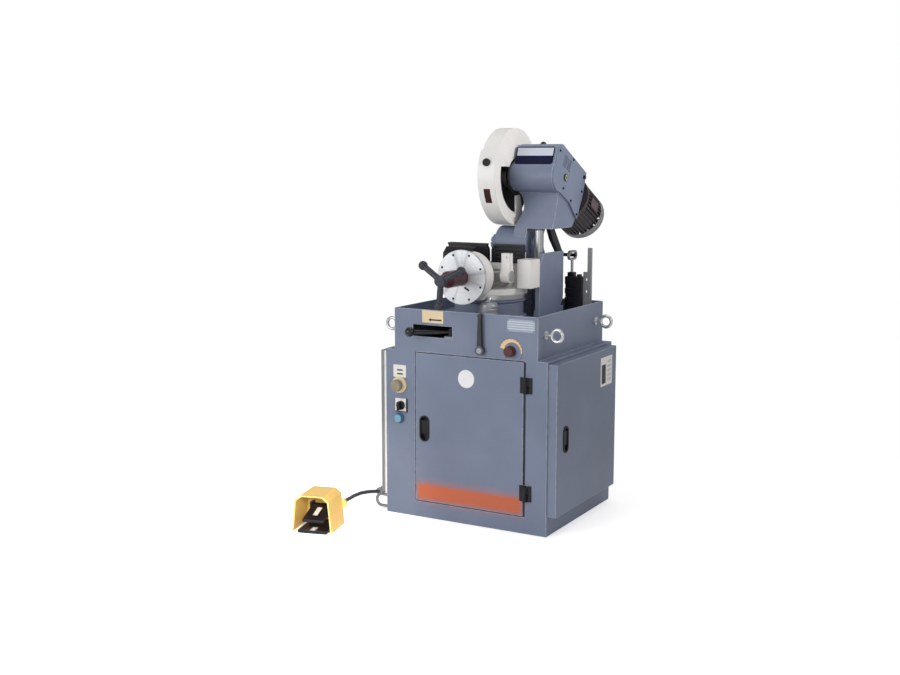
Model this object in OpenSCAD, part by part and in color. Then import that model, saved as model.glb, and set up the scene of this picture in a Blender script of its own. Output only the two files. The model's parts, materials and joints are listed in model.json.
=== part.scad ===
// Circular cold saw on a sheet-metal cabinet, with a foot pedal on a short cable.
// Millimetres. The origin is on the floor, at the middle of the cabinet. +X right, +Y back, +Z up.

/* [Cabinet] */
// Width of the cabinet
cabinet_w = 600; // [570:5:660]
// Depth of the cabinet
cabinet_d = 520; // [510:5:580]
// Height of the shoulder, where the cabinet steps in
shoulder_z = 566; // [562:2:590]
// Width above the shoulder
upper_w = 530; // [520:2:550]
// Height of the tray's rim
rim_z = 706; // [700:2:726]
// Depth of the tray
tray_depth = 42; // [30:1:60]
// Thickness of the sheet
sheet = 3; // [2:0.5:4]
// Radius of the anchor holes in the bottom plate
anchor_r = 7; // [5:0.5:9]
// Distance of the anchor holes from the cabinet's edges
anchor_inset = 40; // [30:1:60]

/* [Doors] */
// Width of the front door
front_door_w = 400; // [360:5:410]
// Height of the front door
front_door_h = 503; // [460:1:505]
// Height of the front door's lower edge
front_door_z = 57; // [45:1:59]
// Place of the front door's left edge
front_door_x = -184; // [-190:1:-180]
// Gap round the front door
door_gap = 3; // [2:0.5:5]
// Depth of the front door's folded edge
front_door_depth = 22; // [15:1:30]
// Depth of the side door's pan
side_door_depth = 31; // [24:1:36]
// Height of the side door
side_door_h = 492; // [440:1:494]
// Height of the side door's lower edge
side_door_z = 66; // [50:1:70]
// Distance of the side door's front edge from the cabinet's front
side_door_front = 5; // [3:1:20]
// Distance of the side door's rear edge from the cabinet's back
side_door_rear = 32; // [31:1:45]
// Width of the side door's rim that lies on the wall
side_door_rim = 22; // [16:1:30]
// Largest radius of a hinge knuckle
knuckle_r = 7; // [6:0.5:9]
// Radius of the hinge pins
hinge_pin_r = 3.5; // [2.5:0.25:4.5]
// Height of a hinge
hinge_h = 52; // [40:2:64]
// Height of a latch plate
latch_h = 88; // [80:2:100]
// Width of a latch plate
latch_w = 37; // [32:1:42]

/* [Controls] */
// Radius of the stop button's ring
stop_ring_r = 28; // [25:0.5:32]
// Travel of the stop button
stop_travel = 6; // [4:0.5:8]
// Side of the selector's plate
selector_side = 46; // [40:1:50]
// Radius of the lamp button's bezel
lamp_ring_r = 17.5; // [15:0.5:20]
// Travel of the lamp button
lamp_travel = 4; // [2:0.5:5]
// Radius of the feed knob
feed_knob_r = 16.5; // [13:0.5:20]
// Outer radius of the feed scale
feed_scale_r = 40; // [34:1:46]
// Radius of the control stems
stem_r = 6; // [4:0.5:7]
// Length of the clamp lever's arm
clamp_arm = 113; // [90:1:118]
// Radius of the slot lever's ball
lever_ball_r = 16; // [13:0.5:18]
// Radius of the slot lever's arm
lever_r = 7; // [5:0.5:8]

/* [Vise] */
// Height of the work surface above the tray's floor
bed_h = 186; // [182:0.5:190]
// Height of the pedestal above the tray's floor
pedestal_h = 71; // [66:1:80]
// Radius of the pedestal
pedestal_r = 128; // [118:1:128]
// Radius of the swivel table
swivel_r = 135; // [130:1:136]
// Thickness of the swivel table
swivel_h = 15; // [12:1:18]
// Radius of the swivel's centre spigot
spigot_r = 30; // [24:1:36]
// Width of the slot that the blade runs in
blade_slot = 14; // [10:1:16]
// Height of the fences
fence_h = 62; // [50:1:63]
// Thickness of the fences
fence_t = 18; // [14:1:18]
// Length of the left fence
fence_left_l = 156; // [130:1:165]
// Length of the right fence
fence_right_l = 119; // [100:1:119]
// Travel of the jaw
jaw_travel = 70; // [50:1:70]
// Height of the jaw above the work surface
jaw_h = 55; // [40:1:56]
// Radius of the vise cylinder
vise_cylinder_r = 80; // [74:1:84]
// Length of the vise cylinder
vise_cylinder_l = 65; // [55:1:65]
// Radius of the cylinder's cover above the cylinder's own
cover_lip = 9; // [2:0.5:10]
// Thickness of the cylinder's cover
cover_t = 12; // [8:1:14]
// Radius of the vise screw
screw_r = 10; // [8:0.5:12]
// Radius of the handwheel's hub
hub_r = 27; // [22:1:32]
// Length of the handwheel's hub
hub_l = 118; // [100:1:124]
// Reach of the handwheel's arms
wheel_arm = 80; // [60:1:84]
// Radius of the cross shaft
cross_shaft_r = 17.5; // [14:0.5:18]
// Width of the anti-burr arm
burr_w = 30; // [24:1:30]

/* [Column] */
// Place of the pivot pin from front to back
pivot_y = 130; // [128:0.5:132]
// Radius of the pivot pin
pivot_r = 18; // [14:0.5:22]
// Radius of the head's pivot barrel
barrel_r = 54; // [48:1:55]
// Length of the head's pivot barrel
barrel_l = 126; // [120:1:127]
// Thickness of a cheek of the column
cheek_t = 24; // [18:1:26]
// Radius of the cheek's round top
cheek_r = 30; // [26:1:34]
// Height of the column's foot
foot_h = 26; // [20:1:30]
// Radius of the lift ram's rod
ram_r = 16; // [13:0.5:16.5]
// Radius of the lift ram's body
ram_body_r = 20; // [18:0.5:20.5]
// Radius of the check rod
check_rod_r = 5; // [4:0.25:6]

/* [Head] */
// Backward lean of the head at rest, in degrees
head_pitch = 26; // [25:0.5:27]
// Distance of the pivot behind the spindle, along the head
arm_back = 119; // [117:0.5:121]
// Distance of the pivot below the spindle, square to the head
arm_drop = 200; // [199:0.5:202]
// Radius of the blade
blade_r = 157.5; // [156:0.5:158.5]
// Thickness of the blade
blade_t = 2.5; // [1.5:0.25:3]
// Number of teeth on the blade
blade_teeth = 120; // [80:2:140]
// Radius of the blade's bore
blade_bore_r = 16; // [13:0.5:18]
// Radius of the blade's flanges
flange_r = 45; // [36:1:50]
// Width of the fixed guard
guard_w = 56; // [54:1:58]
// Thickness of the guards' walls
guard_wall = 3; // [2:0.5:3]
// Radial room from the blade to the fixed guard's outside
guard_room = 5.5; // [5:0.25:6]
// Radial step from the fixed guard to the moving one
guard_step = 5; // [4.5:0.25:6]
// Width of the gear housing
housing_w = 150; // [140:1:156]
// Wall of the gear housing
housing_wall = 12; // [9:0.5:13]
// Thickness of the gear cover
gear_cover_t = 7; // [5:0.5:9]
// Radius of the motor's body
motor_r = 77; // [66:0.5:80]
// Height of the motor's fins
fin_h = 8; // [5:0.5:9]
// Number of the motor's fins
fin_count = 40; // [16:2:44]
// Length of the motor's body
motor_l = 140; // [120:1:160]
// Length of the fan cover
fan_cover_l = 42; // [34:1:50]
// Radius of the motor's shaft
motor_shaft_r = 10; // [8:0.5:11]
// Radius of the worm's shaft
worm_shaft_r = 9; // [7:0.5:10]
// Outer radius of the worm wheel
worm_wheel_r = 40; // [36:0.5:40]
// Radius of the spindle in its bearings
spindle_r = 20; // [18:0.5:22]

/* [Pedal] */
// Width of the pedal's hood at its foot
pedal_w = 136; // [120:1:146]
// Width of the pedal's hood at its top
pedal_top_w = 110; // [100:1:116]
// Depth of the pedal's hood
pedal_d = 124; // [116:1:130]
// Height of the pedal's hood
pedal_h = 120; // [112:1:130]
// Wall of the pedal's hood
pedal_wall = 4; // [3:0.5:5]
// Turn of the pedal on the floor, in degrees
pedal_turn = 15; // [14:0.5:16]
// Radius of the cable
cord_r = 6; // [5:0.25:6.5]

/* [Clearances] */
// Radial clearance of a shaft in its bore
fit = 0.05; // [0.02:0.01:0.09]
// Gap between flat faces that slide or turn past each other
run_gap = 0.3; // [0.3:0.1:0.8]
// Gap between parts that pass each other in the open
pass_gap = 1; // [0.6:0.1:2]

/* [Hidden] */
$fn = 48;

// Colours
paint = "#747c90";
cream = "#ece9e2";
steel = "#c4c6c8";
black = "#1d1e20";
brown = "#5a2c24";
yellow = "#e8b84c";

// Cabinet: faces and levels
half_w = cabinet_w / 2;
half_d = cabinet_d / 2;
half_u = upper_w / 2;
front_y = -half_d;
back_y = half_d;
tray_plate = 4;
floor_z = rim_z - tray_depth;
tray_wall = 2;
tray_bottom = floor_z - tray_plate;

// Front door and its hinges
front_door_x1 = front_door_x + front_door_w;
front_door_z1 = front_door_z + front_door_h;
front_hinge_x = front_door_x1 + 10;
front_hinge_y = front_y - knuckle_r - 1;
hinge_leaf = 3;
hinge_reach = 21;
front_hinge_zs = [front_door_z + 51, front_door_z1 - 100];

// Side door and its hinges
side_x0 = half_w;
side_x1 = half_w + side_door_depth;
side_y0 = front_y + side_door_front;
side_y1 = back_y - side_door_rear;
side_z1 = side_door_z + side_door_h;
side_hinge_x = half_w + knuckle_r + 1;
side_hinge_y = side_y1 + knuckle_r + 1;
side_hinge_zs = [side_door_z + 60, side_z1 - 60 - hinge_h];

// Latches: a shallow cup with a pull paddle that turns on a pin at its top
latch_rim = 2;
latch_lip = 3;
latch_deep = 12;
latch_floor = 2;
latch_paddle_t = 4;
latch_pin_r = 2;
front_latch_x = front_door_x + 34;
front_latch_z = front_door_z + 249;
side_latch_y = side_y0 + 69;
side_latch_z = side_door_z + 243;

// Left cover
seal_t = 12;
cover_plate_t = 11;

// Eye bolts
eye_ring_r = 19;
eye_wire_r = 5.5;
eye_reach = 42;
eye_collar_r = 14;
eye_shank_r = 6;
eye_z = rim_z - 62;
eye_ys = [front_y + 51, back_y - 70];

// Places of the controls on the front panel
left_col_x = -half_w + 53;
stop_z = shoulder_z - 120;
selector_x = -half_w + 61;
selector_z = shoulder_z - 189;
lamp_z = shoulder_z - 233;
feed_x = 171;
feed_z = shoulder_z + 26;
clamp_x = 63;
clamp_z = shoulder_z + 21;
stop_ring_t = 9;
lamp_ring_t = 7;
selector_t = 4;
scale_t = 2;
stem_inner = 14;

// Slot lever: its slot, and the pin that it turns on behind the panel
slot_x0 = -193;
slot_x1 = -44;
slot_z0 = shoulder_z + 50;
slot_z1 = shoulder_z + 89;
lever_z = shoulder_z + 68;
lever_x = -60;
lever_y = front_y + 25;
lever_pin_r = 5;
lever_hub_r = 12;
lever_hub_h = 24;
lever_ball_x = -182;
lever_ball_y = front_y - 40;
lug_h = 8;

// Head: places at rest and with the head down
blade_x = -30;
head_swing = 60;
blade_dip = 3;
rest_dy = arm_drop * sin(head_pitch) - arm_back * cos(head_pitch);
rest_dz = arm_drop * cos(head_pitch) + arm_back * sin(head_pitch);
down_dy = rest_dy * cos(head_swing) - rest_dz * sin(head_swing);
down_dz = rest_dy * sin(head_swing) + rest_dz * cos(head_swing);
bed_z = floor_z + bed_h;
pivot_z = bed_z + blade_r - blade_dip - down_dz;
spindle_y = pivot_y + rest_dy;
spindle_z = pivot_z + rest_dz;
down_y = pivot_y + down_dy;
down_z = pivot_z + down_dz;
guard_r = blade_r + guard_room;
outer_guard_r = guard_r + guard_step;

// Vise: levels, and places from the swivel's axis
swivel_y = -30;
pedestal_top = floor_z + pedestal_h;
swivel_z = pedestal_top + run_gap;
swivel_top = swivel_z + swivel_h;
base_r = swivel_r - 5;
base_h = 20;
base_top = swivel_top + base_h;
bed_t = 14;
bed_under = bed_z - bed_t;
spigot_h = 40;
slot_left = blade_x - blade_slot / 2;
slot_right = blade_x + blade_slot / 2;
fence_back = swivel_y + fence_t;
wall_y0 = swivel_y + 10;
wall_y1 = swivel_y + 40;
wall_x0 = blade_x - 90;
wall_x1 = blade_x + 130;
bed_y0 = swivel_y - 80;
block_x0 = blade_x + 128;
block_x1 = blade_x + 177;
screw_z = bed_z - 35;
jaw_gap = 5;
jaw_y = swivel_y - jaw_travel - jaw_gap;
jaw_t = 35;
carriage_x0 = blade_x - 118;
carriage_x1 = blade_x + 18;
cylinder_y1 = jaw_y - jaw_t - 10;
cylinder_y0 = cylinder_y1 - vise_cylinder_l;
cover_y0 = cylinder_y0 - cover_t;
hub_y1 = cover_y0 - run_gap;
hub_y0 = hub_y1 - hub_l;
screw_end_y = wall_y0 - 5;
collar_t = 8;
collar_r = screw_r + 8;
cross_y = jaw_y - 9;
burr_x0 = blade_x + 95;
burr_x1 = burr_x0 + burr_w;
burr_half = 12;

// Column: cheeks beside the head's barrel
barrel_x0 = blade_x - 36;
barrel_x1 = barrel_x0 + barrel_l;
cheek_l1 = barrel_x0 - pass_gap;
cheek_r0 = barrel_x1 + pass_gap;
column_y0 = pivot_y - 22;
column_y1 = pivot_y + 65;
column_mid_z = pivot_z - barrel_r - 11;
web_x0 = blade_x + 157;
web_x1 = web_x0 + 15;
web_y0 = pivot_y - 125;
web_z1 = pivot_z - 25;
web_corner_r = 40;

// Lift ram under the arm, and the feed check behind it
arm_flat = 55;
ram_x = blade_x + 129;
ram_y = pivot_y - 43;
ram_top = pivot_z + arm_flat - pass_gap;
ram_low = ram_top - 139;
ram_body_z1 = pivot_z - 50;
lever_pin_y = pivot_y + 120;
lever_pin_z = pivot_z - 43;
cross_pin_r = 6;
check_x = blade_x + 184;
check_y = pivot_y + 112;
check_t = 8;
check_block_h = 139;
check_play = 3;

// Head frame, head-local: y to the rear along the head, z square to it, origin on the spindle
housing_x0 = 6;
housing_x1 = housing_x0 + housing_w;
boss_r = 52;
boss_x0 = blade_x + guard_w / 2;
guard_x0 = blade_x - guard_w / 2;
front_top = [-50, 87];
brow = [-28, 107];
rear_top = [198, 106];
rear_y = 204;
rear_break = 90;
belly_z = -46;
chin = [20, belly_z];
nose = [-46, 22];
gear_x = housing_x0 + 91;
wheel_w = 24;
gear_play = 0.4;
worm_r = 12 - gear_play;
worm_z = worm_wheel_r + 12;
big_gear_r = 24;
pinion_r = 14;
motor_z = worm_z - big_gear_r - pinion_r;
gear_y0 = 148;
gear_w = 18;
rotor_y0 = gear_y0 - 2;
motor_y1 = rear_y + motor_l;
fan_y1 = motor_y1 + fan_cover_l;
stub_r = 12;
guard_gap = 1;
moving_x0 = guard_x0 - guard_gap - guard_wall;
moving_x1 = guard_x0 + guard_w + guard_gap + guard_wall;
fixed_from = 20;
fixed_to = 148;
moving_from = fixed_to;
moving_to = 290;
bearing_r = 34;
bearing_w = 16;

// Pedal on the floor: base and treadle stand a little right of the hood's middle
pedal_x = -397;
pedal_y = -527;
pedal_mid = 5;
base_half = 49;
base_plate = 10;
base_front = 12;
tread_half = 36;
tread_t = 8;
tread_front_z = 34;
ear_t = 8;
treadle_pin_r = 3;
treadle_pin_y = 38;
treadle_pin_z = 64;
boss_x = 60;
boss_len = 18.5;
boss_pedal_r = 16;

// Route of the cable, from the pedal's boss to the elbow on the cabinet
cord_laid = [[-360, -433, 66], [-362, -425, 66], [-363, -416, 67], [-362, -406, 69], [-360, -395, 71],
    [-357, -384, 74], [-354, -372, 76], [-351, -360, 77], [-348, -347, 78], [-345, -334, 77],
    [-342, -320, 76], [-339, -306, 74], [-336, -292, 72], [-333, -278, 69], [-331, -264, 67]];
cord_end = [-half_w - 31, front_y - 4, side_door_z + 1];
cord_last = len(cord_laid) - 1;
cord_route = [for (i = [0 : cord_last]) cord_laid[i] + (cord_end - cord_laid[cord_last]) * i / cord_last];
cord_sides = 10;
cord_seat = 1.2;

// Helpers: boxes and rods by their limits, profiles pushed along an axis
module block(x, y, z) {
    translate([x[0], y[0], z[0]]) cube([x[1] - x[0], y[1] - y[0], z[1] - z[0]]);
}

module rod_x(x, y, z, r) {
    translate([x[0], y, z]) rotate([0, 90, 0]) cylinder(h = x[1] - x[0], r = r);
}

module rod_y(x, y, z, r) {
    translate([x, y[1], z]) rotate([90, 0, 0]) cylinder(h = y[1] - y[0], r = r);
}

module rod_z(x, y, z, r) {
    translate([x, y, z[0]]) cylinder(h = z[1] - z[0], r = r);
}

// A profile of (Y, Z) points along X
module along_x(x) {
    translate([x[0], 0, 0]) rotate([90, 0, 90]) linear_extrude(x[1] - x[0]) children();
}

// A profile of (X, Z) points along Y
module along_y(y) {
    translate([0, y[1], 0]) rotate([90, 0, 0]) linear_extrude(y[1] - y[0]) children();
}

// A round piece whose profile of (radius, length) points turns about an axis along -Y from a face
module turned_y(x, y, z) {
    translate([x, y, z]) rotate([90, 0, 0]) rotate_extrude() children();
}

// A plate with round ends, upright, in the (X, Z) plane
module stadium(w, h) {
    r = w / 2;
    union() {
        translate([-r, r - h / 2]) square([w, h - w]);
        translate([0, r - h / 2]) circle(r);
        translate([0, h / 2 - r]) circle(r);
    }
}

// A wedge of a disc between two angles, wide enough to cut a ring of radius r
module wedge(r, from, to) {
    far = 2 * r;
    steps = ceil((to - from) / 60);
    points = [for (i = [0 : steps]) far * [cos(from + (to - from) * i / steps),
        sin(from + (to - from) * i / steps)]];
    polygon(concat([[0, 0]], points));
}

// Outline of the cabinet from the front, drawn in by a margin
module cabinet_outline(m) {
    w = half_w - m;
    u = half_u - m;
    z = shoulder_z - m;
    polygon([[-w, m], [w, m], [w, z], [u, z], [u, rim_z], [-u, rim_z], [-u, z], [-w, z]]);
}

module cabinet_shell() {
    color(paint) difference() {
        union() {
            along_y([front_y + sheet, back_y]) difference() {
                cabinet_outline(0);
                cabinet_outline(sheet);
            }
            along_y([back_y - sheet, back_y]) cabinet_outline(0);
        }
        block([half_w - 2 * sheet, half_w + sheet], [side_y0 + side_door_rim, side_y1 - side_door_rim],
            [side_door_z + side_door_rim, side_z1 - side_door_rim]);
        for (x = (half_w - anchor_inset) * [-1, 1], y = (half_d - anchor_inset) * [-1, 1])
            rod_z(x, y, [-sheet, 2 * sheet], anchor_r);
    }
}

module front_panel() {
    color(paint) difference() {
        union() {
            along_y([front_y, front_y + sheet]) difference() {
                cabinet_outline(0);
                translate([front_door_x - door_gap, front_door_z - door_gap])
                    square([front_door_w + 2 * door_gap, front_door_h + 2 * door_gap]);
                translate([slot_x0, slot_z0]) square([slot_x1 - slot_x0, slot_z1 - slot_z0]);
            }
            block([lever_x - 15, lever_x + 15], [front_y + sheet, lever_y + lever_hub_r],
                [lever_z - lever_hub_h / 2 - lug_h - run_gap, lever_z - lever_hub_h / 2 - run_gap]);
            rod_z(lever_x, lever_y, [lever_z - lever_hub_h / 2 - lug_h, lever_z + lever_hub_h / 2],
                lever_pin_r);
        }
        for (p = [[left_col_x, stop_z], [selector_x, selector_z], [left_col_x, lamp_z], [feed_x, feed_z],
                [clamp_x, clamp_z]])
            rod_y(p[0], [front_y - 1, front_y + 2 * sheet], p[1], stem_r + fit);
    }
}

module coolant_tray() {
    x = half_u - sheet;
    y0 = front_y + sheet;
    y1 = back_y - sheet;
    color(paint) difference() {
        block([-x, x], [y0, y1], [tray_bottom, rim_z]);
        block([-x + tray_wall, x - tray_wall], [y0 + tray_wall, y1 - tray_wall], [floor_z, rim_z + 1]);
    }
}

module left_seal() {
    color(cream) difference() {
        block([-half_w - seal_t, -half_w], [side_y0 + 2, side_y1 - 2], [side_door_z + 2, side_z1 - 2]);
        block([-half_w - seal_t - 1, -half_w + 1], [side_y0 + side_door_rim, side_y1 - side_door_rim],
            [side_door_z + side_door_rim, side_z1 - side_door_rim]);
    }
}

// Hook that stands off the left wall under the cover, with the elbow that the cable goes into
module cable_elbow() {
    end = cord_route[len(cord_route) - 1];
    ring = 20;
    wire = 5;
    mid_z = end[2] - cord_r - ring - 8;
    y = end[1] + 19;
    translate([end[0], y, mid_z]) rotate([90, 0, 0]) rotate([0, 0, 90]) rotate_extrude(angle = 180)
        translate([ring, 0]) circle(wire);
    for (z = [mid_z - ring, mid_z + ring])
        rod_x([end[0], -half_w], y, z, wire);
    rod_y(end[0], [end[1] + cord_seat, end[1] + 28], end[2], cord_r + 6);
}

module left_cover() {
    x = -half_w - seal_t;
    color("#8a8c8e") {
        block([x - cover_plate_t, x], [side_y0, side_y1], [side_door_z, side_z1]);
        cable_elbow();
    }
}

module eye_bolt() {
    translate([eye_reach, 0, 0]) rotate([90, 0, 0]) rotate_extrude() translate([eye_ring_r, 0])
        circle(eye_wire_r);
    rod_x([0, eye_reach - eye_ring_r], 0, 0, eye_shank_r);
    rod_x([0, 6], 0, 0, eye_collar_r);
}

module eye_bolts() {
    color(steel) for (y = eye_ys) {
        translate([half_u, y, eye_z]) eye_bolt();
        translate([-half_u, y, eye_z]) mirror([1, 0, 0]) eye_bolt();
    }
}

// Lower half of a lift-off hinge, with the pin standing on it; z is the hinge's foot
module hinge_post(x, y, z) {
    rod_z(x, y, [z, z + hinge_h / 2], knuckle_r);
    rod_z(x, y, [z, z + hinge_h - run_gap], hinge_pin_r);
}

// Upper half of a hinge, which turns on the pin
module hinge_sleeve(x, y, z) {
    rod_z(x, y, [z + hinge_h / 2 + run_gap, z + hinge_h], knuckle_r);
}

module hinge_bore(x, y, z) {
    rod_z(x, y, [z + hinge_h / 2, z + hinge_h + 1], hinge_pin_r + fit);
}

module door_hinges() {
    color(black) {
        for (z = front_hinge_zs) {
            hinge_post(front_hinge_x, front_hinge_y, z);
            block([front_hinge_x, front_hinge_x + hinge_reach], [front_y - hinge_leaf, front_y],
                [z, z + hinge_h / 2]);
        }
        for (z = side_hinge_zs) {
            hinge_post(side_hinge_x, side_hinge_y, z);
            block([half_w, half_w + hinge_leaf], [side_hinge_y, back_y], [z, z + hinge_h / 2]);
        }
    }
}

module coolant_tank() {
    tank = [cabinet_w / 2, 200, 170];
    x = 140 - half_w;
    y = half_d - 240;
    color(steel) {
        difference() {
            block([x, x + tank[0]], [y, y + tank[1]], [sheet, sheet + tank[2]]);
            block([x + 2, x + tank[0] - 2], [y + 2, y + tank[1] - 2], [sheet + 2, sheet + tank[2] - 3]);
            rod_z(x + 60, y + 100, [tank[2] - 10, tank[2] + 10], 26);
        }
        rod_z(x + 60, y + 100, [sheet + 20, sheet + tank[2]], 25);
        rod_z(x + 60, y + 100, [sheet + tank[2], sheet + tank[2] + 8], 50);
        rod_z(x + 60, y + 100, [sheet + tank[2], sheet + tank[2] + 110], 40);
    }
}

// Mounting plate on the left wall, with its rail of switchgear
module control_gear() {
    x = -half_w + sheet;
    color("#b9bcbf") {
        block([x, x + 4], [front_y + 90, back_y - 110], [shoulder_z - 376, shoulder_z - 66]);
        for (i = [0 : 3])
            block([x + 4, x + 70], [front_y + 120 + i * 66, front_y + 176 + i * 66],
                [shoulder_z - 206, shoulder_z - 126]);
        block([x + 4, x + 90], [front_y + 130, front_y + 240], [shoulder_z - 346, shoulder_z - 256]);
    }
}

// Cup of a latch, seen from the front, with its outer face at y = 0 on the door
module latch_cup(w, h) {
    difference() {
        union() {
            along_y([-latch_lip, 0]) stadium(w, h);
            along_y([-latch_lip, latch_deep]) stadium(w - 2 * latch_rim, h - 2 * latch_rim);
        }
        along_y([-latch_lip - 1, latch_deep - latch_floor]) stadium(w - 5 * latch_rim, h - 5 * latch_rim);
        rod_x([-w / 2 + latch_rim, w / 2 - latch_rim], latch_pin_y(), latch_pin_z(w, h), latch_pin_r + fit);
    }
}

function latch_pin_z(w, h) = h / 2 - w / 2;
function latch_pin_y() = latch_paddle_t / 2;

// Pull paddle in the cup, with its cross pin
module latch_paddle(w, h) {
    pad_w = w - 5 * latch_rim - 2 * pass_gap;
    pad_h = h - 5 * latch_rim - w + 2 * pass_gap;
    top = latch_pin_z(w, h);
    block([-pad_w / 2, pad_w / 2], [0, latch_paddle_t], [top - pad_h, top]);
    rod_x([-pad_w / 2, pad_w / 2], latch_pin_y(), top, latch_paddle_t / 2 + 1);
    rod_x([-w / 2 + 2 * latch_rim, w / 2 - 2 * latch_rim], latch_pin_y(), top, latch_pin_r);
}

// The hole that a cup goes through
module latch_hole(w, h) {
    along_y([-1, front_door_depth]) stadium(w - 2 * latch_rim + 2 * fit, h - 2 * latch_rim + 2 * fit);
}

// Puts a latch on the front door, or on the side door turned to face +X
module at_front_latch() {
    translate([front_latch_x, front_y, front_latch_z]) children();
}

module at_side_latch() {
    translate([side_x1, side_latch_y, side_latch_z]) rotate([0, 0, 90]) children();
}

module front_door() {
    color(paint) difference() {
        block([front_door_x, front_door_x1], [front_y, front_y + front_door_depth],
            [front_door_z, front_door_z1]);
        block([front_door_x + sheet, front_door_x1 - sheet],
            [front_y + sheet, front_y + front_door_depth + 1],
            [front_door_z + sheet, front_door_z1 - sheet]);
        at_front_latch() latch_hole(latch_w, latch_h);
    }
}

module front_door_fittings() {
    color(black) {
        at_front_latch() latch_cup(latch_w, latch_h);
        for (z = front_hinge_zs) difference() {
            union() {
                hinge_sleeve(front_hinge_x, front_hinge_y, z);
                block([front_hinge_x - hinge_reach, front_hinge_x], [front_y - hinge_leaf, front_y],
                    [z + hinge_h / 2 + run_gap, z + hinge_h]);
            }
            hinge_bore(front_hinge_x, front_hinge_y, z);
        }
    }
}

module front_latch() {
    color(black) at_front_latch() latch_paddle(latch_w, latch_h);
}

module side_door() {
    x0 = side_x0 + run_gap;
    color(paint) difference() {
        block([x0, side_x1], [side_y0, side_y1], [side_door_z, side_z1]);
        block([x0 - 1, side_x1 - sheet], [side_y0 + sheet, side_y1 - sheet],
            [side_door_z + sheet, side_z1 - sheet]);
        at_side_latch() latch_hole(latch_w, latch_h);
    }
}

module side_door_fittings() {
    color(black) {
        at_side_latch() latch_cup(latch_w, latch_h);
        for (z = side_hinge_zs) difference() {
            union() {
                hinge_sleeve(side_hinge_x, side_hinge_y, z);
                block([side_hinge_x - 4, side_hinge_x + 4], [side_y1, side_hinge_y],
                    [z + hinge_h / 2 + run_gap, z + hinge_h]);
            }
            hinge_bore(side_hinge_x, side_hinge_y, z);
        }
    }
}

module side_latch() {
    color(black) at_side_latch() latch_paddle(latch_w, latch_h);
}

// Ring, plate, bezel and scale that lie on the front panel round the controls
module control_plates() {
    color(cream) {
        difference() {
            turned_y(left_col_x, front_y, stop_z) polygon([[0, 0], [stop_ring_r, 0],
                [stop_ring_r, stop_ring_t - 4], [stop_ring_r - 3, stop_ring_t], [0, stop_ring_t]]);
            rod_y(left_col_x, [front_y - stop_ring_t - 1, front_y + 1], stop_z, stem_r + fit);
        }
        difference() {
            turned_y(left_col_x, front_y, lamp_z) polygon([[0, 0], [lamp_ring_r, 0],
                [lamp_ring_r, lamp_ring_t - 2], [lamp_ring_r - 2, lamp_ring_t], [0, lamp_ring_t]]);
            rod_y(left_col_x, [front_y - lamp_ring_t - 1, front_y + 1], lamp_z, stem_r + fit);
        }
        difference() {
            block([selector_x - selector_side / 2, selector_x + selector_side / 2],
                [front_y - selector_t, front_y],
                [selector_z - selector_side / 2, selector_z + selector_side / 2]);
            rod_y(selector_x, [front_y - selector_t - 1, front_y + 1], selector_z, stem_r + fit);
        }
        difference() {
            rod_y(feed_x, [front_y - scale_t, front_y], feed_z, feed_scale_r);
            rod_y(feed_x, [front_y - scale_t - 1, front_y + 1], feed_z, stem_r + fit);
            translate([feed_x, 0, feed_z]) along_y([front_y - scale_t - 1, front_y + 1])
                wedge(feed_scale_r, 230, 310);
        }
    }
}

// Stem behind a control, through the panel
module control_stem(x, z, y) {
    rod_y(x, [y, front_y + stem_inner], z, stem_r);
}

module stop_button() {
    y = front_y - stop_ring_t - stop_travel - run_gap;
    r = stop_ring_r - 8;
    color(brown) {
        turned_y(left_col_x, y, stop_z) union() {
            square([r, 6]);
            intersection() {
                translate([0, 6]) circle(r);
                translate([0, 6]) square([r, 8]);
            }
        }
        control_stem(left_col_x, stop_z, y);
    }
}

module selector_knob() {
    y = front_y - selector_t - run_gap;
    color(black) {
        rod_y(selector_x, [y - 8, y], selector_z, 15);
        block([selector_x - 4.5, selector_x + 4.5], [y - 22, y - 8], [selector_z - 14, selector_z + 14]);
        control_stem(selector_x, selector_z, y);
    }
}

module lamp_button() {
    y = front_y - lamp_ring_t - lamp_travel - run_gap;
    color("#2a4f86") {
        turned_y(left_col_x, y, lamp_z) polygon([[0, 0], [lamp_ring_r - 4, 0], [lamp_ring_r - 4, 3],
            [lamp_ring_r - 6, 5], [0, 5]]);
        control_stem(left_col_x, lamp_z, y);
    }
}

module feed_knob() {
    y = front_y - scale_t - run_gap;
    flutes = 12;
    color(brown) {
        difference() {
            turned_y(feed_x, y, feed_z) polygon([[0, 0], [feed_knob_r + 2, 0], [feed_knob_r + 2, 3],
                [feed_knob_r, 4], [feed_knob_r, 20], [feed_knob_r - 2, 22], [0, 22]]);
            for (i = [0 : flutes - 1])
                rod_y(feed_x + (feed_knob_r + 1) * cos(i * 360 / flutes), [y - 30, y - 4],
                    feed_z + (feed_knob_r + 1) * sin(i * 360 / flutes), 2.2);
        }
        control_stem(feed_x, feed_z, y);
    }
}

module clamp_lever() {
    y = front_y - run_gap;
    tip = 0.8 * stem_r;
    color(black) {
        rod_y(clamp_x, [y - 16, y], clamp_z, 15);
        along_y([y - 14, y - 4]) polygon([[clamp_x - 9, clamp_z], [clamp_x + 9, clamp_z],
            [clamp_x + tip, clamp_z + clamp_arm], [clamp_x - tip, clamp_z + clamp_arm]]);
        rod_y(clamp_x, [y - 14, y - 4], clamp_z + clamp_arm, tip + 2);
        control_stem(clamp_x, clamp_z, y);
    }
}

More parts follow.
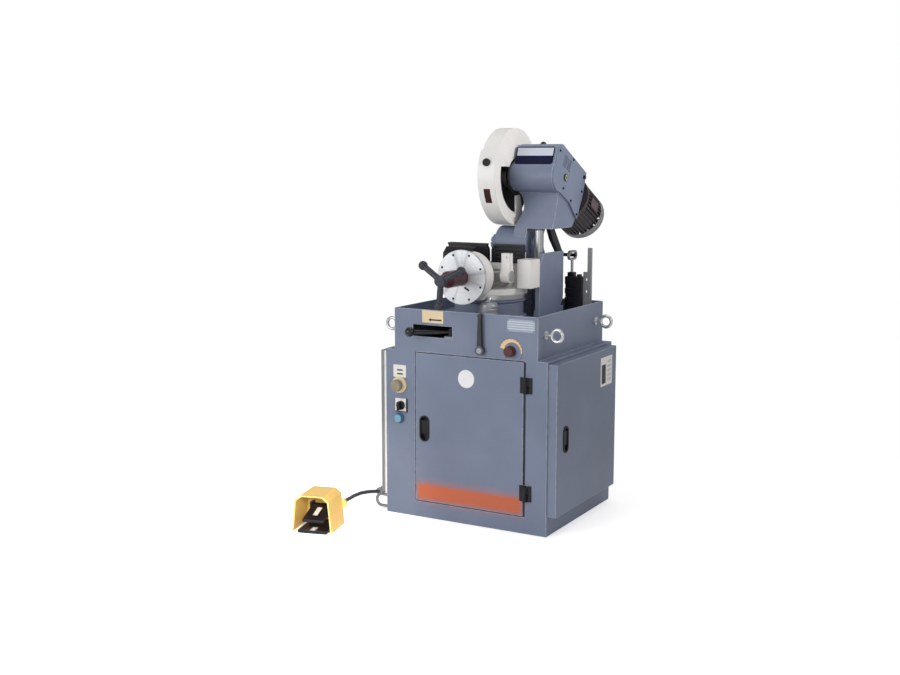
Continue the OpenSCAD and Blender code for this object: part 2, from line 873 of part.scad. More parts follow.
module slot_lever() {
    dx = lever_ball_x - lever_x;
    dy = lever_ball_y - lever_y;
    reach = norm([dx, dy]);
    color(black) difference() {
        union() {
            rod_z(lever_x, lever_y, [lever_z - lever_hub_h / 2, lever_z + lever_hub_h / 2], lever_hub_r);
            translate([lever_x, lever_y, lever_z]) rotate([0, 0, atan2(dy, dx)]) {
                rod_x([0, reach], 0, 0, lever_r);
                translate([reach, 0, 0]) sphere(lever_ball_r);
            }
        }
        rod_z(lever_x, lever_y, [lever_z - lever_hub_h, lever_z + lever_hub_h], lever_pin_r + fit);
    }
}

// Vise. Pieces that swivel are drawn square to the machine.
module pedestal() {
    foot_r = pedestal_r;
    color(paint) difference() {
        translate([blade_x, swivel_y, floor_z]) rotate_extrude() polygon([[0, 0], [foot_r, 0], [foot_r, 12],
            [foot_r - 10, 20], [foot_r - 10, pedestal_h - 16], [foot_r, pedestal_h - 8],
            [foot_r, pedestal_h], [0, pedestal_h]]);
        rod_z(blade_x, swivel_y, [pedestal_top - spigot_h - 2, pedestal_top + 1], spigot_r + fit);
    }
}

module swivel_table() {
    color(steel) {
        rod_z(blade_x, swivel_y, [swivel_z, swivel_top], swivel_r);
        rod_z(blade_x, swivel_y, [pedestal_top - spigot_h, swivel_z], spigot_r);
    }
}

// Stepped pillar with a cone top that holds the swivel's clamp, in front of the pedestal
module clamp_pillar() {
    r = 20;
    h = 82;
    gap = 3;
    angle = -63;
    reach = pedestal_r + r + gap;
    color(steel) translate([blade_x + reach * cos(angle), swivel_y + reach * sin(angle), floor_z])
        rotate_extrude() polygon([[0, 0], [r, 0], [r, 22], [r - 3, 24], [r - 3, 40], [r - 6, 42],
            [r - 6, 52], [r - 8, h - 8], [r - 11, h], [0, h]]);
}

// Flank of the vise from the side: a foot that sweeps up to the wall under the table
module vise_flank() {
    r = bed_under - base_top - 10;
    difference() {
        translate([bed_y0 + 30, base_top - 1]) square([wall_y0 - bed_y0 - 29, bed_under - base_top + 2]);
        translate([wall_y0 - 2 - r, base_top + r]) circle(r);
        translate([bed_y0, base_top + r]) square([wall_y0 - 2 - r - bed_y0, bed_z]);
    }
}

module vise_body() {
    wall_top = bed_z + fence_h - 27;
    color(cream) {
        difference() {
            union() {
                rod_z(blade_x, swivel_y, [swivel_top, base_top], base_r);
                block([wall_x0, wall_x1], [wall_y0, wall_y1], [base_top - 1, bed_z]);
                block([wall_x0 - 10, blade_x - 10], [bed_y0, wall_y0 + 1], [bed_under, bed_z]);
                block([blade_x + 10, blade_x + 90], [bed_y0, wall_y0 + 1], [bed_under, bed_z]);
                block([wall_x0, blade_x - 15], [fence_back, fence_back + 18], [bed_z - 1, wall_top]);
                block([blade_x + 15, blade_x + 120], [fence_back, fence_back + 18], [bed_z - 1, wall_top]);
                block([block_x0, block_x1], [swivel_y - 45, swivel_y + 25], [base_top + 2, bed_z + 17]);
                along_x([blade_x + 78, blade_x + 90]) vise_flank();
            }
            block([slot_left, slot_right], [bed_y0 - 1, wall_y1 - 8], [bed_z - 3 * blade_dip, bed_z + 1]);
        }
    }
}

// Fences: the left one has a sloped end and a top lip, the right one has ribs along its face
module fences() {
    left_x = slot_left - fence_left_l;
    right_x = slot_right + fence_right_l;
    top = bed_z + fence_h;
    rib = 5;
    step = (fence_h - 10) / 4;
    color(black) {
        difference() {
            union() {
                along_y([swivel_y, fence_back]) polygon([[slot_left, bed_z], [slot_left, top - 18],
                    [slot_left - 10, top], [left_x, top], [left_x + 8, top - 22], [left_x + 40, bed_z + 12],
                    [left_x + 52, bed_z]]);
                block([left_x, slot_left - 10], [fence_back - 1, fence_back + 10], [top - 5, top]);
            }
            along_y([swivel_y - 1, swivel_y + 7]) polygon([[slot_left - 14, bed_z + 16],
                [slot_left - 14, top - 14], [left_x + 20, top - 14], [left_x + 56, bed_z + 16]]);
        }
        difference() {
            along_y([swivel_y, fence_back]) polygon([[slot_right, bed_z], [right_x, bed_z], [right_x, top],
                [slot_right + 10, top], [slot_right, top - 18]]);
            for (i = [0 : 3])
                block([slot_right + 14, right_x - 8], [swivel_y - 1, swivel_y + 6],
                    [bed_z + 8 + i * step, bed_z + 8 + (i + 1) * step - rib]);
        }
    }
}

// Clamping cylinder, with the groove that the blade's rim dips into
module vise_cylinder() {
    back = 8;
    color(cream) difference() {
        rod_y(blade_x, [cylinder_y0, cylinder_y1], screw_z, vise_cylinder_r);
        rod_y(blade_x, [cylinder_y0 - 1, cylinder_y1 - back], screw_z, vise_cylinder_r / 2);
        rod_y(blade_x, [cylinder_y0 - 1, cylinder_y1 + 1], screw_z, screw_r + fit);
        rod_z(blade_x, swivel_y, [floor_z, swivel_top], swivel_r + run_gap);
        rod_z(blade_x, swivel_y, [swivel_top - 1, base_top], base_r + fit);
        rod_x([slot_left, slot_right], down_y, down_z, blade_r + blade_dip);
    }
}

module cylinder_cover() {
    r = vise_cylinder_r + cover_lip;
    screws = 8;
    screw_head = 4;
    color(steel) {
        difference() {
            rod_y(blade_x, [cover_y0, cylinder_y0], screw_z, r);
            rod_y(blade_x, [cover_y0 - 1, cylinder_y0 + 1], screw_z, screw_r + fit);
            for (i = [0 : screws - 1])
                rod_y(blade_x + (r - 12) * cos(22.5 + i * 45), [cover_y0 - 1, cover_y0 + 3],
                    screw_z + (r - 12) * sin(22.5 + i * 45), screw_head);
        }
    }
}

// Jaw above the table, carriage with the screw's nut below it, and the web that joins them at the left
module moving_jaw() {
    jaw_x0 = blade_x - 90;
    jaw_x1 = blade_x - 10;
    web_t = 14;
    y = [jaw_y - jaw_t, jaw_y];
    low = base_top + run_gap;
    high = bed_under - 2;
    color(black) difference() {
        union() {
            block([carriage_x0, carriage_x1], y, [low, high]);
            block([carriage_x0, carriage_x0 + web_t], y, [low, bed_z + jaw_h - 20]);
            along_x([carriage_x0, jaw_x1]) polygon([[jaw_y - jaw_t, bed_z + run_gap],
                [jaw_y, bed_z + run_gap], [jaw_y, bed_z + jaw_h], [jaw_y - 12, bed_z + jaw_h],
                [jaw_y - jaw_t, bed_z + jaw_h - 20]]);
        }
        rod_y(blade_x, [jaw_y - jaw_t - 1, jaw_y + 1], screw_z, screw_r + fit);
        block([jaw_x0, jaw_x1 + 1], [jaw_y - jaw_t - 1, jaw_y - jaw_t + 6], [bed_z + 8, bed_z + jaw_h - 26]);
    }
}

module cross_shaft() {
    color(steel) {
        rod_x([carriage_x1, burr_x1 + 3], cross_y, screw_z, cross_shaft_r);
        rod_x([carriage_x1, carriage_x1 + 8], cross_y, screw_z, cross_shaft_r + 0.5);
    }
}

// Anti-burr arm, clamped on the shaft: it rises and leans back to its pad
module burr_arm() {
    hub = cross_shaft_r + 5;
    top = bed_z + 40;
    color(cream) difference() {
        union() {
            rod_x([burr_x0, burr_x1], cross_y, screw_z, hub);
            along_x([burr_x0, burr_x1]) polygon([[cross_y - hub + 2, screw_z], [cross_y + hub - 2, screw_z],
                [cross_y + burr_half, bed_z + 4], [cross_y + burr_half, top], [cross_y - burr_half, top],
                [cross_y - burr_half, bed_z + 10]]);
        }
        rod_x([burr_x0 - 1, burr_x1 + 1], cross_y, screw_z, cross_shaft_r + fit);
        rod_y(burr_x0 + burr_w - 8, [cross_y - burr_half - 1, cross_y - burr_half + 4], top - 13, 5);
    }
}

module vise_screw() {
    collar_y = cylinder_y0 + run_gap;
    color(steel) {
        rod_y(blade_x, [hub_y0, screw_end_y], screw_z, screw_r);
        rod_y(blade_x, [collar_y, collar_y + collar_t], screw_z, collar_r);
    }
}

// Hub with three arms, each ending in a round knob
module handwheel() {
    arm_r = 10;
    knob_r = 15;
    y = hub_y0 - arm_r - 1.5;
    color(brown) difference() {
        union() {
            turned_y(blade_x, hub_y1, screw_z) polygon([[0, 0], [hub_r, 0], [hub_r, hub_l - 30],
                [hub_r - 6, hub_l - 14], [hub_r - 9, hub_l], [0, hub_l]]);
            rod_y(blade_x, [y - 13, hub_y0 + 1], screw_z, 17.5);
            translate([blade_x, y, screw_z]) for (a = [25, 145, 265]) rotate([0, -a, 0]) {
                rod_x([0, wheel_arm], 0, 0, arm_r);
                translate([wheel_arm, 0, 0]) sphere(knob_r);
            }
        }
        rod_y(blade_x, [hub_y0, hub_y1 + 1], screw_z, screw_r + fit);
    }
}

// Side of a cheek: straight body with a round top about the pivot
module cheek_side(z1) {
    polygon([[column_y0, floor_z], [column_y1, floor_z], [column_y1, z1], [pivot_y + cheek_r, pivot_z],
        [pivot_y - cheek_r, pivot_z], [column_y0, z1]]);
    translate([pivot_y, pivot_z]) circle(cheek_r);
}

// Web plate at the right, with its lower rear corner rounded
module web_side() {
    low = floor_z + foot_h;
    r = web_corner_r;
    polygon([[web_y0, low - 1], [column_y1 - r, low - 1], [column_y1 - r, low + r], [column_y1, low + r],
        [column_y1, web_z1], [web_y0 + 30, web_z1], [web_y0, web_z1 - 40]]);
    translate([column_y1 - r, low + r]) circle(r);
}

module column() {
    right_t = cheek_t - 6;
    color(paint) difference() {
        union() {
            block([cheek_l1 - cheek_t, web_x1], [column_y0, column_y1], [floor_z, floor_z + foot_h]);
            block([web_x0 - 5, web_x1], [web_y0, column_y0 + 1], [floor_z, floor_z + foot_h]);
            along_x([cheek_l1 - cheek_t, cheek_l1]) cheek_side(column_mid_z);
            along_x([cheek_r0, cheek_r0 + right_t]) cheek_side(column_mid_z);
            block([cheek_l1 - 1, cheek_r0 + 1], [column_y0, column_y1], [floor_z, column_mid_z]);
            along_x([web_x0, web_x1]) web_side();
        }
        rod_x([cheek_l1 - cheek_t - 1, cheek_r0 + right_t + 1], pivot_y, pivot_z, pivot_r + fit);
    }
}

module pivot_pin() {
    x0 = cheek_l1 - cheek_t;
    x1 = cheek_r0 + cheek_t - 6;
    color(steel) {
        rod_x([x0 - 4, x1 + 4], pivot_y, pivot_z, pivot_r);
        rod_x([x0 - 8, x0], pivot_y, pivot_z, pivot_r + 4);
    }
}

module ram_body() {
    color(paint) difference() {
        rod_z(ram_x, ram_y, [floor_z, ram_body_z1], ram_body_r);
        rod_z(ram_x, ram_y, [floor_z + 24, ram_body_z1 + 1], ram_r + fit);
    }
}

module ram_rod() {
    l = ram_top - ram_low;
    color(steel) translate([ram_x, ram_y, ram_low]) rotate_extrude()
        polygon([[0, 0], [ram_r, 0], [ram_r, l - 4], [ram_r - 4, l], [0, l]]);
}

module check_block() {
    x = check_x;
    color(black) difference() {
        union() {
            block([x - 16, x + 47], [check_y - 25, check_y + 10], [floor_z, floor_z + check_block_h - 14]);
            block([x - 12, x + 12], [check_y - 12, check_y + 10], [floor_z, floor_z + check_block_h]);
            rod_z(x + 32, check_y - 8, [floor_z, floor_z + check_block_h - 6], 9);
        }
        rod_z(x, check_y, [floor_z + 4, floor_z + check_block_h + 1], check_rod_r + fit);
        for (i = [0 : 2])
            block([x - 17, x + 18], [check_y - 26, check_y - 20],
                [floor_z + 20 + i * 32, floor_z + 34 + i * 32]);
    }
}

// Drilled plate and post behind the check block
module check_bracket() {
    x = check_x + 49;
    y = check_y - 14;
    color("#7d8086") {
        difference() {
            block([x, x + 28], [y, y + 6], [floor_z, floor_z + check_block_h + 4]);
            for (z = [26, 74, 116])
                rod_y(x + 14, [y - 1, y + 7], floor_z + z, 5);
        }
        block([x + 11, x + 26], [y + 10, y + 18], [floor_z, floor_z + 226]);
        block([x + 11, x + 26], [y + 5, y + 11], [floor_z, floor_z + 20]);
    }
}

// Check rod with the slotted link that the rear lever's pin runs in
module check_rod() {
    slot_y = [lever_pin_y - 25, lever_pin_y + 10];
    slot_r = cross_pin_r + check_play;
    rim = 8;
    color(steel) {
        rod_z(check_x, check_y, [floor_z + 6, lever_pin_z - slot_r - rim + 2], check_rod_r);
        along_x([check_x - check_t / 2, check_x + check_t / 2]) difference() {
            union() {
                for (y = slot_y) translate([y, lever_pin_z]) circle(slot_r + rim);
                translate([slot_y[0], lever_pin_z - slot_r - rim])
                    square([slot_y[1] - slot_y[0], 2 * (slot_r + rim)]);
            }
            for (y = slot_y) translate([y, lever_pin_z]) circle(slot_r);
            translate([slot_y[0], lever_pin_z - slot_r]) square([slot_y[1] - slot_y[0], 2 * slot_r]);
        }
    }
}

// Puts head-local pieces in place: x across, y to the rear along the head, z square to it
module at_head() {
    translate([0, spindle_y, spindle_z]) rotate([-head_pitch, 0, 0]) children();
}

module housing_side() {
    polygon([front_top, brow, rear_top, [rear_y, rear_break], [rear_y, belly_z], chin, nose]);
    circle(boss_r);
}

// Hollow of the gear housing, a wall's thickness inside its outline
module housing_hollow() {
    w = housing_wall;
    polygon([front_top + [w, -w], brow + [w / 2, -w], rear_top + [-w, -w], [rear_y - w, rear_break - w / 3],
        [rear_y - w, belly_z + w],
        chin + [w / 3, w], nose + [w, w / 6]]);
    circle(worm_wheel_r + 3);
}

// Arm from the side: from the housing's belly down to the pivot barrel
module arm_side() {
    polygon([[chin[0] + 12, belly_z + 1], [rear_y - 3, belly_z + 1], [rear_y - 7, belly_z - 29],
        [arm_back + barrel_r - 3, -arm_drop], [arm_back - barrel_r - 7, -arm_drop]]);
}

// Arm from the front: waisted at the left beside the guard, as wide as the housing at the right
module arm_front() {
    waist = 24;
    half = 54;
    r = (half * half + waist * waist) / (2 * waist);
    x0 = housing_x0 + 2;
    mid = belly_z - half;
    difference() {
        polygon([[x0, belly_z + 2], [housing_x1 - 1, belly_z + 2], [housing_x1 - 3, belly_z - 90],
            [housing_x1 - 8, -arm_drop], [x0, -arm_drop]]);
        translate([x0 + waist - r, mid]) circle(r);
    }
}

// Arm, cut flat underneath beside the pivot barrel, where the lift ram bears
module arm() {
    difference() {
        at_head() intersection() {
            along_x([housing_x0, housing_x1]) arm_side();
            along_y([0, rear_y + 10]) arm_front();
        }
        block([barrel_x1 - 5, housing_x1 + 50], [pivot_y - 2 * arm_back, pivot_y + 2 * arm_back],
            [pivot_z - arm_drop, pivot_z + arm_flat]);
    }
}

// Hollow of the housing, and the bores for bearing, motor shaft and worm
module housing_bores() {
    w = housing_wall;
    along_x([housing_x0 + w, housing_x1 + 1]) housing_hollow();
    rod_x([boss_x0 - 1, boss_x0 + bearing_w], 0, 0, bearing_r + fit);
    rod_x([boss_x0 - 1, housing_x0 + w + 1], 0, 0, spindle_r + 3);
    rod_y(gear_x, [rear_y - 2 * w, rear_y + 1], motor_z, pinion_r + 2);
    rod_y(gear_x, [nose[0] + 3, nose[0] + 3 * w], worm_z, worm_shaft_r + fit);
    rod_y(gear_x, [rear_y - 2 * w, rear_y - 4], worm_z, worm_shaft_r + fit);
}

module head_casting() {
    color(paint) difference() {
        union() {
            at_head() along_x([housing_x0, housing_x1]) housing_side();
            at_head() rod_x([boss_x0, housing_x0 + 1], 0, 0, boss_r - 1);
            arm();
            rod_x([barrel_x0, barrel_x1], pivot_y, pivot_z, barrel_r);
        }
        rod_x([barrel_x0 - 1, barrel_x1 + 1], pivot_y, pivot_z, pivot_r + fit);
        at_head() housing_bores();
    }
}

// Outline of the side cover, which runs down over the arm at the rear
module cover_side() {
    polygon([front_top, brow, rear_top, [rear_y, motor_z + 12], [rear_y - 7, belly_z - 24],
        [112, belly_z + 1], chin, nose]);
    circle(boss_r - 1);
}

// Side cover of the housing, with louvres and the bush that carries the spindle's end
module gear_cover() {
    x = [housing_x1, housing_x1 + gear_cover_t];
    bush = housing_x1 - 14;
    color(paint) at_head() difference() {
        union() {
            along_x(x) cover_side();
            rod_x([bush, housing_x1 + 1], 0, 0, spindle_r + 8);
        }
        rod_x([bush - 1, housing_x1 + gear_cover_t / 2], 0, 0, spindle_r + fit);
        for (i = [0 : 5], y = [4, 38])
            block([x[0] - 1, x[1] + 1], [y, y + 28], [45 + i * 7, 48 + i * 7]);
    }
}

// Filler plug on the top of the housing, sight glass and clip on the cover
module oil_fittings() {
    plug_y = brow[0] + 18;
    top = brow[1] + (rear_top[1] - brow[1]) * (plug_y - brow[0]) / (rear_top[0] - brow[0]);
    x = housing_x1 + gear_cover_t;
    color(black) at_head() {
        translate([gear_x - 16, plug_y, top]) rotate_extrude() polygon([[0, 0.15], [14, 0.15], [14, 5],
            [9, 7], [9, 13], [7, 15], [0, 15]]);
        rod_x([x, x + 4], 43, 16, 13);
        rod_x([x, x + 6], rear_top[0] - 14, rear_top[1] - 22, 7);
    }
}

// Finned motor behind the housing
module motor_fins() {
    fin_t = 3;
    root = motor_r - 6;
    circle(motor_r);
    for (i = [0 : fin_count - 1]) rotate(i * 360 / fin_count) translate([root, -fin_t / 2])
        square([motor_r + fin_h - root, fin_t]);
}

module motor_body() {
    y0 = rear_y;
    end_wall = 12;
    color(black) at_head() translate([gear_x, 0, motor_z]) difference() {
        union() {
            along_y([y0 + end_wall - 1, motor_y1]) motor_fins();
            rod_y(0, [y0, y0 + end_wall], 0, motor_r + fin_h + 2);
        }
        rod_y(0, [y0 + end_wall, motor_y1 - end_wall], 0, motor_r - 28);
        rod_y(0, [y0 - 1, motor_y1 + 1], 0, motor_shaft_r + fit);
    }
}

module fan_cover() {
    r = motor_r + fin_h;
    wall = 2;
    slots = 12;
    color("#6c6f76") at_head() translate([gear_x, 0, motor_z]) difference() {
        turned_y(0, fan_y1, 0) polygon([[0, 0], [r - 14, 0], [r, 12], [r, fan_cover_l], [0, fan_cover_l]]);
        turned_y(0, fan_y1 - wall, 0) polygon([[0, 0], [r - 14, 0], [r - wall, 12], [r - wall, fan_cover_l],
            [0, fan_cover_l]]);
        for (i = [0 : slots - 1]) rotate([0, i * 360 / slots, 0])
            block([16, r - 18], [fan_y1 - 2 * wall, fan_y1 + 1], [-3, 3]);
    }
}

// Gear with plain trapezoid teeth, as a profile
module gear_profile(teeth, r, depth) {
    polygon([for (i = [0 : teeth - 1], p = [[-0.3, -depth], [-0.14, 0], [0.14, 0], [0.3, -depth]])
        (r + p[1]) * [cos((i + p[0]) * 360 / teeth), sin((i + p[0]) * 360 / teeth)]]);
}

module rotor_shaft() {
    fan_y = motor_y1 + 8;
    vanes = 7;
    color(steel) at_head() translate([gear_x, 0, motor_z]) {
        rod_y(0, [rotor_y0, fan_y1 - 8], 0, motor_shaft_r);
        along_y([gear_y0, gear_y0 + gear_w]) gear_profile(14, pinion_r - gear_play / 2, 3);
        rod_y(0, [rear_y + 24, motor_y1 - 24], 0, motor_r - 30);
        rod_y(0, [fan_y, fan_y + 20], 0, 20);
        for (i = [0 : vanes - 1]) rotate([0, i * 360 / vanes, 0])
            block([0, motor_r - 14], [fan_y, fan_y + 18], [-1.5, 1.5]);
    }
}

// Worm on its shaft, with the gear that the motor's pinion drives
module worm_shaft() {
    pitch = 8;
    ridges = 4;
    half = pitch * ridges / 2;
    depth = 2.5;
    color(steel) at_head() translate([gear_x, 0, worm_z]) {
        rod_y(0, [nose[0] + 4, rear_y - 5], 0, worm_shaft_r);
        along_y([gear_y0, gear_y0 + gear_w]) gear_profile(24, big_gear_r - gear_play / 2, 3);
        turned_y(0, half, 0) polygon(concat([[0, 0], [worm_r - depth, 0]],
            [for (i = [0 : ridges - 1], p = [[0, 2], [depth, 3.2], [depth, 4.8], [0, 6]])
                [worm_r - depth + p[0], i * pitch + p[1]]], [[worm_r - depth, 2 * half], [0, 2 * half]]));
    }
}

module spindle() {
    teeth = 24;
    nose_x = blade_x - blade_t / 2 - 22;
    flange_x = blade_x + blade_t / 2;
    color(steel) at_head() {
        rod_x([nose_x, flange_x + 1], 0, 0, blade_bore_r - fit);
        rod_x([flange_x, flange_x + 9], 0, 0, flange_r);
        rod_x([flange_x + 8, housing_x1 + gear_cover_t / 2 - 1], 0, 0, spindle_r);
        along_x([gear_x - wheel_w / 2, gear_x + wheel_w / 2]) gear_profile(teeth, worm_wheel_r, 3);
    }
}

module spindle_bearing() {
    color(steel) at_head() difference() {
        rod_x([boss_x0, boss_x0 + bearing_w], 0, 0, bearing_r);
        rod_x([boss_x0 - 1, boss_x0 + bearing_w + 1], 0, 0, spindle_r + fit);
    }
}

// Saw blade: hooked teeth round the rim, two pin holes beside the bore
module blade() {
    depth = 5;
    pin_r = 4;
    color("#7b7d80") at_head() along_x([blade_x - blade_t / 2, blade_x + blade_t / 2]) difference() {
        polygon([for (i = [0 : blade_teeth - 1],
                p = [[0, blade_r], [0.12, blade_r - depth], [0.5, blade_r - depth]])
            p[1] * [cos((i + p[0]) * 360 / blade_teeth), sin((i + p[0]) * 360 / blade_teeth)]]);
        circle(blade_bore_r);
        for (a = [90, 270]) rotate(a) translate([blade_bore_r + 14, 0]) circle(pin_r);
    }
}

module blade_flange() {
    x1 = blade_x - blade_t / 2;
    color(steel) at_head() difference() {
        union() {
            rod_x([x1 - 9, x1], 0, 0, flange_r);
            translate([x1 - 19, 0, 0]) rotate([0, 90, 0]) cylinder(h = 11, r = blade_bore_r + 7, $fn = 6);
        }
        rod_x([x1 - 20, x1 + 1], 0, 0, blade_bore_r + fit);
    }
}

// Angles of the guards are as seen at rest, from the rear (0) over the top (90) to the front (180)
module at_spindle() {
    translate([0, spindle_y, spindle_z]) children();
}

// A trough that follows the rim: a turned channel open towards the hub, cut to a span of angles
module guard_trough(x, r, from, to) {
    w = guard_wall;
    difference() {
        along_x(x) intersection() {
            circle(r, $fn = 120);
            wedge(r, from, to);
        }
        along_x([x[0] + w, x[1] - w]) circle(r - w, $fn = 120);
    }
}

module fixed_guard() {
    x = [guard_x0, guard_x0 + guard_w];
    hub = flange_r + 15;
    color(cream) at_spindle() difference() {
        union() {
            guard_trough(x, guard_r, fixed_from, fixed_to);
            rod_x([x[0], x[0] + guard_wall], 0, 0, hub);
            rod_x([x[1] - guard_wall, x[1]], 0, 0, hub);
            rod_x([moving_x0 - run_gap, x[0] + 1], 0, 0, stub_r);
            rod_x([moving_x0 - run_gap - 5, moving_x0 - run_gap], 0, 0, stub_r + 6);
        }
        rod_x([x[1] - guard_wall - 1, x[1] + 1], 0, 0, spindle_r + 3);
    }
}

// Swinging guard: it runs outside the fixed one, and turns on the stub at the left
module moving_guard() {
    x = [moving_x0, moving_x1];
    hub = stub_r + 18;
    window_r = flange_r + 79;
    color(cream) at_spindle() difference() {
        union() {
            guard_trough(x, outer_guard_r, moving_from, moving_to);
            rod_x([x[0], x[0] + guard_wall], 0, 0, hub);
        }
        rod_x([x[1] - guard_wall - 1, x[1] + 1], 0, 0, window_r);
        rod_x([x[0] - 1, x[0] + guard_wall + 1], 0, 0, stub_r + fit);
    }
}

module guard_knob() {
    angle = moving_from + 16;
    color(black) at_spindle() rotate([angle, 0, 0]) translate([blade_x, outer_guard_r, 0])
        rotate([-90, 0, 0]) rotate_extrude()
            polygon([[0, 0.05], [6, 0.05], [6, 1], [13, 2], [13, 8], [11, 10], [0, 10]]);
}

// Lever behind the arm, with the pin that works the check rod
module rear_lever() {
    x = [check_x - 59, check_x - 44];
    end_r = 12;
    top = pivot_z + arm_flat;
    color(black) {
        along_x(x) {
            polygon([[pivot_y + 18, top], [pivot_y + 54, top], [lever_pin_y + 6, lever_pin_z + 11],
                [lever_pin_y - 10, lever_pin_z - 7], [pivot_y + 46, top - 42]]);
            translate([lever_pin_y, lever_pin_z]) circle(end_r);
        }
        rod_x([x[0], check_x + 11], lever_pin_y, lever_pin_z, cross_pin_r);
    }
}

// Puts pedal-local pieces on the floor: the hood opens towards -y
module at_pedal() {
    translate([pedal_x, pedal_y, 0]) rotate([0, 0, pedal_turn]) children();
}

// Section of the hood across its width, drawn in by a margin
module hood_section(m) {
    w = pedal_w / 2 - m;
    t = pedal_top_w / 2 - m;
    corner = 16;
    polygon([[-w, -m], [w, -m], [t + 3, pedal_h - corner - m], [t - corner, pedal_h - m],
        [corner - t, pedal_h - m], [-t - 3, pedal_h - corner - m]]);
}

// Hood: open in front and below, with the cable boss on its back wall
module pedal_hood() {
    d = pedal_d / 2;
    color(yellow) at_pedal() {
        difference() {
            along_y([-d, d]) hood_section(0);
            along_y([-d - 1, d - pedal_wall]) hood_section(pedal_wall);
        }
        translate([boss_x, d - 1, cord_route[0][2]]) rotate([-90, 0, 0]) rotate_extrude()
            polygon([[0, 0], [boss_pedal_r, 0], [boss_pedal_r, boss_len - 8],
                [boss_pedal_r - 5, boss_len + 1],
                [0, boss_len + 1]]);
    }
}

// Base plate with the two ears that carry the treadle's pin
module pedal_base() {
    back = pedal_d / 2 - pedal_wall;
    ear_x = tread_half + pass_gap;
    color(black) at_pedal() translate([pedal_mid, 0, 0]) difference() {
        union() {
            block([-base_half, base_half], [-pedal_d / 2 - base_front, back], [0, base_plate]);
            for (x = [-ear_x - ear_t, ear_x])
                block([x, x + ear_t], [treadle_pin_y - 10, back], [base_plate - 1, treadle_pin_z + 10]);
        }
        rod_x([-base_half, base_half], treadle_pin_y, treadle_pin_z, treadle_pin_r + fit);
    }
}

// Treadle that tips on a cross pin at its back; its front edge is the lower
module treadle() {
    front = -pedal_d / 2 - 2;
    color(black) at_pedal() translate([pedal_mid, 0, 0]) {
        along_x([-tread_half, tread_half]) polygon([[treadle_pin_y, treadle_pin_z - 5],
            [front, tread_front_z],
            [front, tread_front_z + tread_t], [treadle_pin_y, treadle_pin_z + 5]]);
        rod_x([-tread_half, tread_half], treadle_pin_y, treadle_pin_z, 7);
        rod_x([-tread_half - pass_gap - ear_t + 1, tread_half + pass_gap + ear_t - 1],
            treadle_pin_y, treadle_pin_z,
            treadle_pin_r);
    }
}

// Ring of the cable at one point of its route, square to the run there
function ring(i) =
    let (last = len(cord_route) - 1)
    let (run = cord_route[min(i + 1, last)] - cord_route[max(i - 1, 0)])
    let (along = run / norm(run))
    let (side = cross(along, [0, 0, 1]) / norm(cross(along, [0, 0, 1])))
    let (rise = cross(side, along))
    [for (k = [0 : cord_sides - 1]) cord_route[i] + cord_r * (cos(k * 360 / cord_sides) * side
        + sin(k * 360 / cord_sides) * rise)];

module cord() {
    n = cord_sides;
    last = len(cord_route) - 1;
    points = [for (i = [0 : last]) each ring(i)];
    sides = [for (i = [0 : last - 1], k = [0 : n - 1]) each [
        [i * n + k, (i + 1) * n + k, (i + 1) * n + (k + 1) % n],
        [i * n + k, (i + 1) * n + (k + 1) % n, i * n + (k + 1) % n]]];
    near = [for (k = [1 : n - 2]) [0, k, k + 1]];
    far = [for (k = [1 : n - 2]) [last * n, last * n + k + 1, last * n + k]];
    color(black) polyhedron(points, concat(sides, near, far));
}

cabinet_shell();
front_panel();
coolant_tray();
left_seal();
left_cover();
eye_bolts();
door_hinges();
coolant_tank();
control_gear();
control_plates();
front_door();
front_door_fittings();
front_latch();
side_door();
side_door_fittings();
side_latch();
stop_button();
selector_knob();
lamp_button();
feed_knob();
clamp_lever();
slot_lever();
pedestal();
clamp_pillar();
swivel_table();
vise_body();
fences();
vise_cylinder();
cylinder_cover();
moving_jaw();
cross_shaft();
burr_arm();
vise_screw();
handwheel();
column();
pivot_pin();
ram_body();
ram_rod();
check_block();
check_bracket();
check_rod();
head_casting();
gear_cover();
oil_fittings();
motor_body();
fan_cover();
rear_lever();
spindle_bearing();
fixed_guard();
rotor_shaft();
worm_shaft();
spindle();
blade();
blade_flange();
moving_guard();
guard_knob();
pedal_hood();
pedal_base();
treadle();
cord();
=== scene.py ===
"""Looks of a floor-standing circular cold saw: finishes, plates, screws, cable, stage and camera.

Metres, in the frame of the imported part: origin on the floor, +X right, +Y back, +Z up.
"""

import json
import math

import bmesh
import bpy
from mathutils import Matrix, Vector

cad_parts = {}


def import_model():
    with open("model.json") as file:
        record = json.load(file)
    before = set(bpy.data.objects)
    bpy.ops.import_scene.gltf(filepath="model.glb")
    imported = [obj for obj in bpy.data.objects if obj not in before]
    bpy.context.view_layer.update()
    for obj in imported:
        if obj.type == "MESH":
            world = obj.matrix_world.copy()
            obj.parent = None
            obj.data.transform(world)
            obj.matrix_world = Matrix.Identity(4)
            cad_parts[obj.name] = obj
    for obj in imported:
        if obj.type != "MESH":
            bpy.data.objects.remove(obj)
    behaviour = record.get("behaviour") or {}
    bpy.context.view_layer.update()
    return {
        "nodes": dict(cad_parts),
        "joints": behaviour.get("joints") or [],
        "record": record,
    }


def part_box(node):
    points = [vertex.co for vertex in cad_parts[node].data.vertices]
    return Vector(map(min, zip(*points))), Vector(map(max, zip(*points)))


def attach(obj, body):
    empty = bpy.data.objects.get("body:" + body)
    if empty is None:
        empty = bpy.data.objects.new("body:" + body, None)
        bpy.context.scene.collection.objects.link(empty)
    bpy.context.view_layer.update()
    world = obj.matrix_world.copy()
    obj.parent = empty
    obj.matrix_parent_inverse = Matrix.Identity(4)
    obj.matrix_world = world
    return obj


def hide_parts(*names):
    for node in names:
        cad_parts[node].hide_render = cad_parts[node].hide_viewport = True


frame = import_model()
nodes = frame["nodes"]
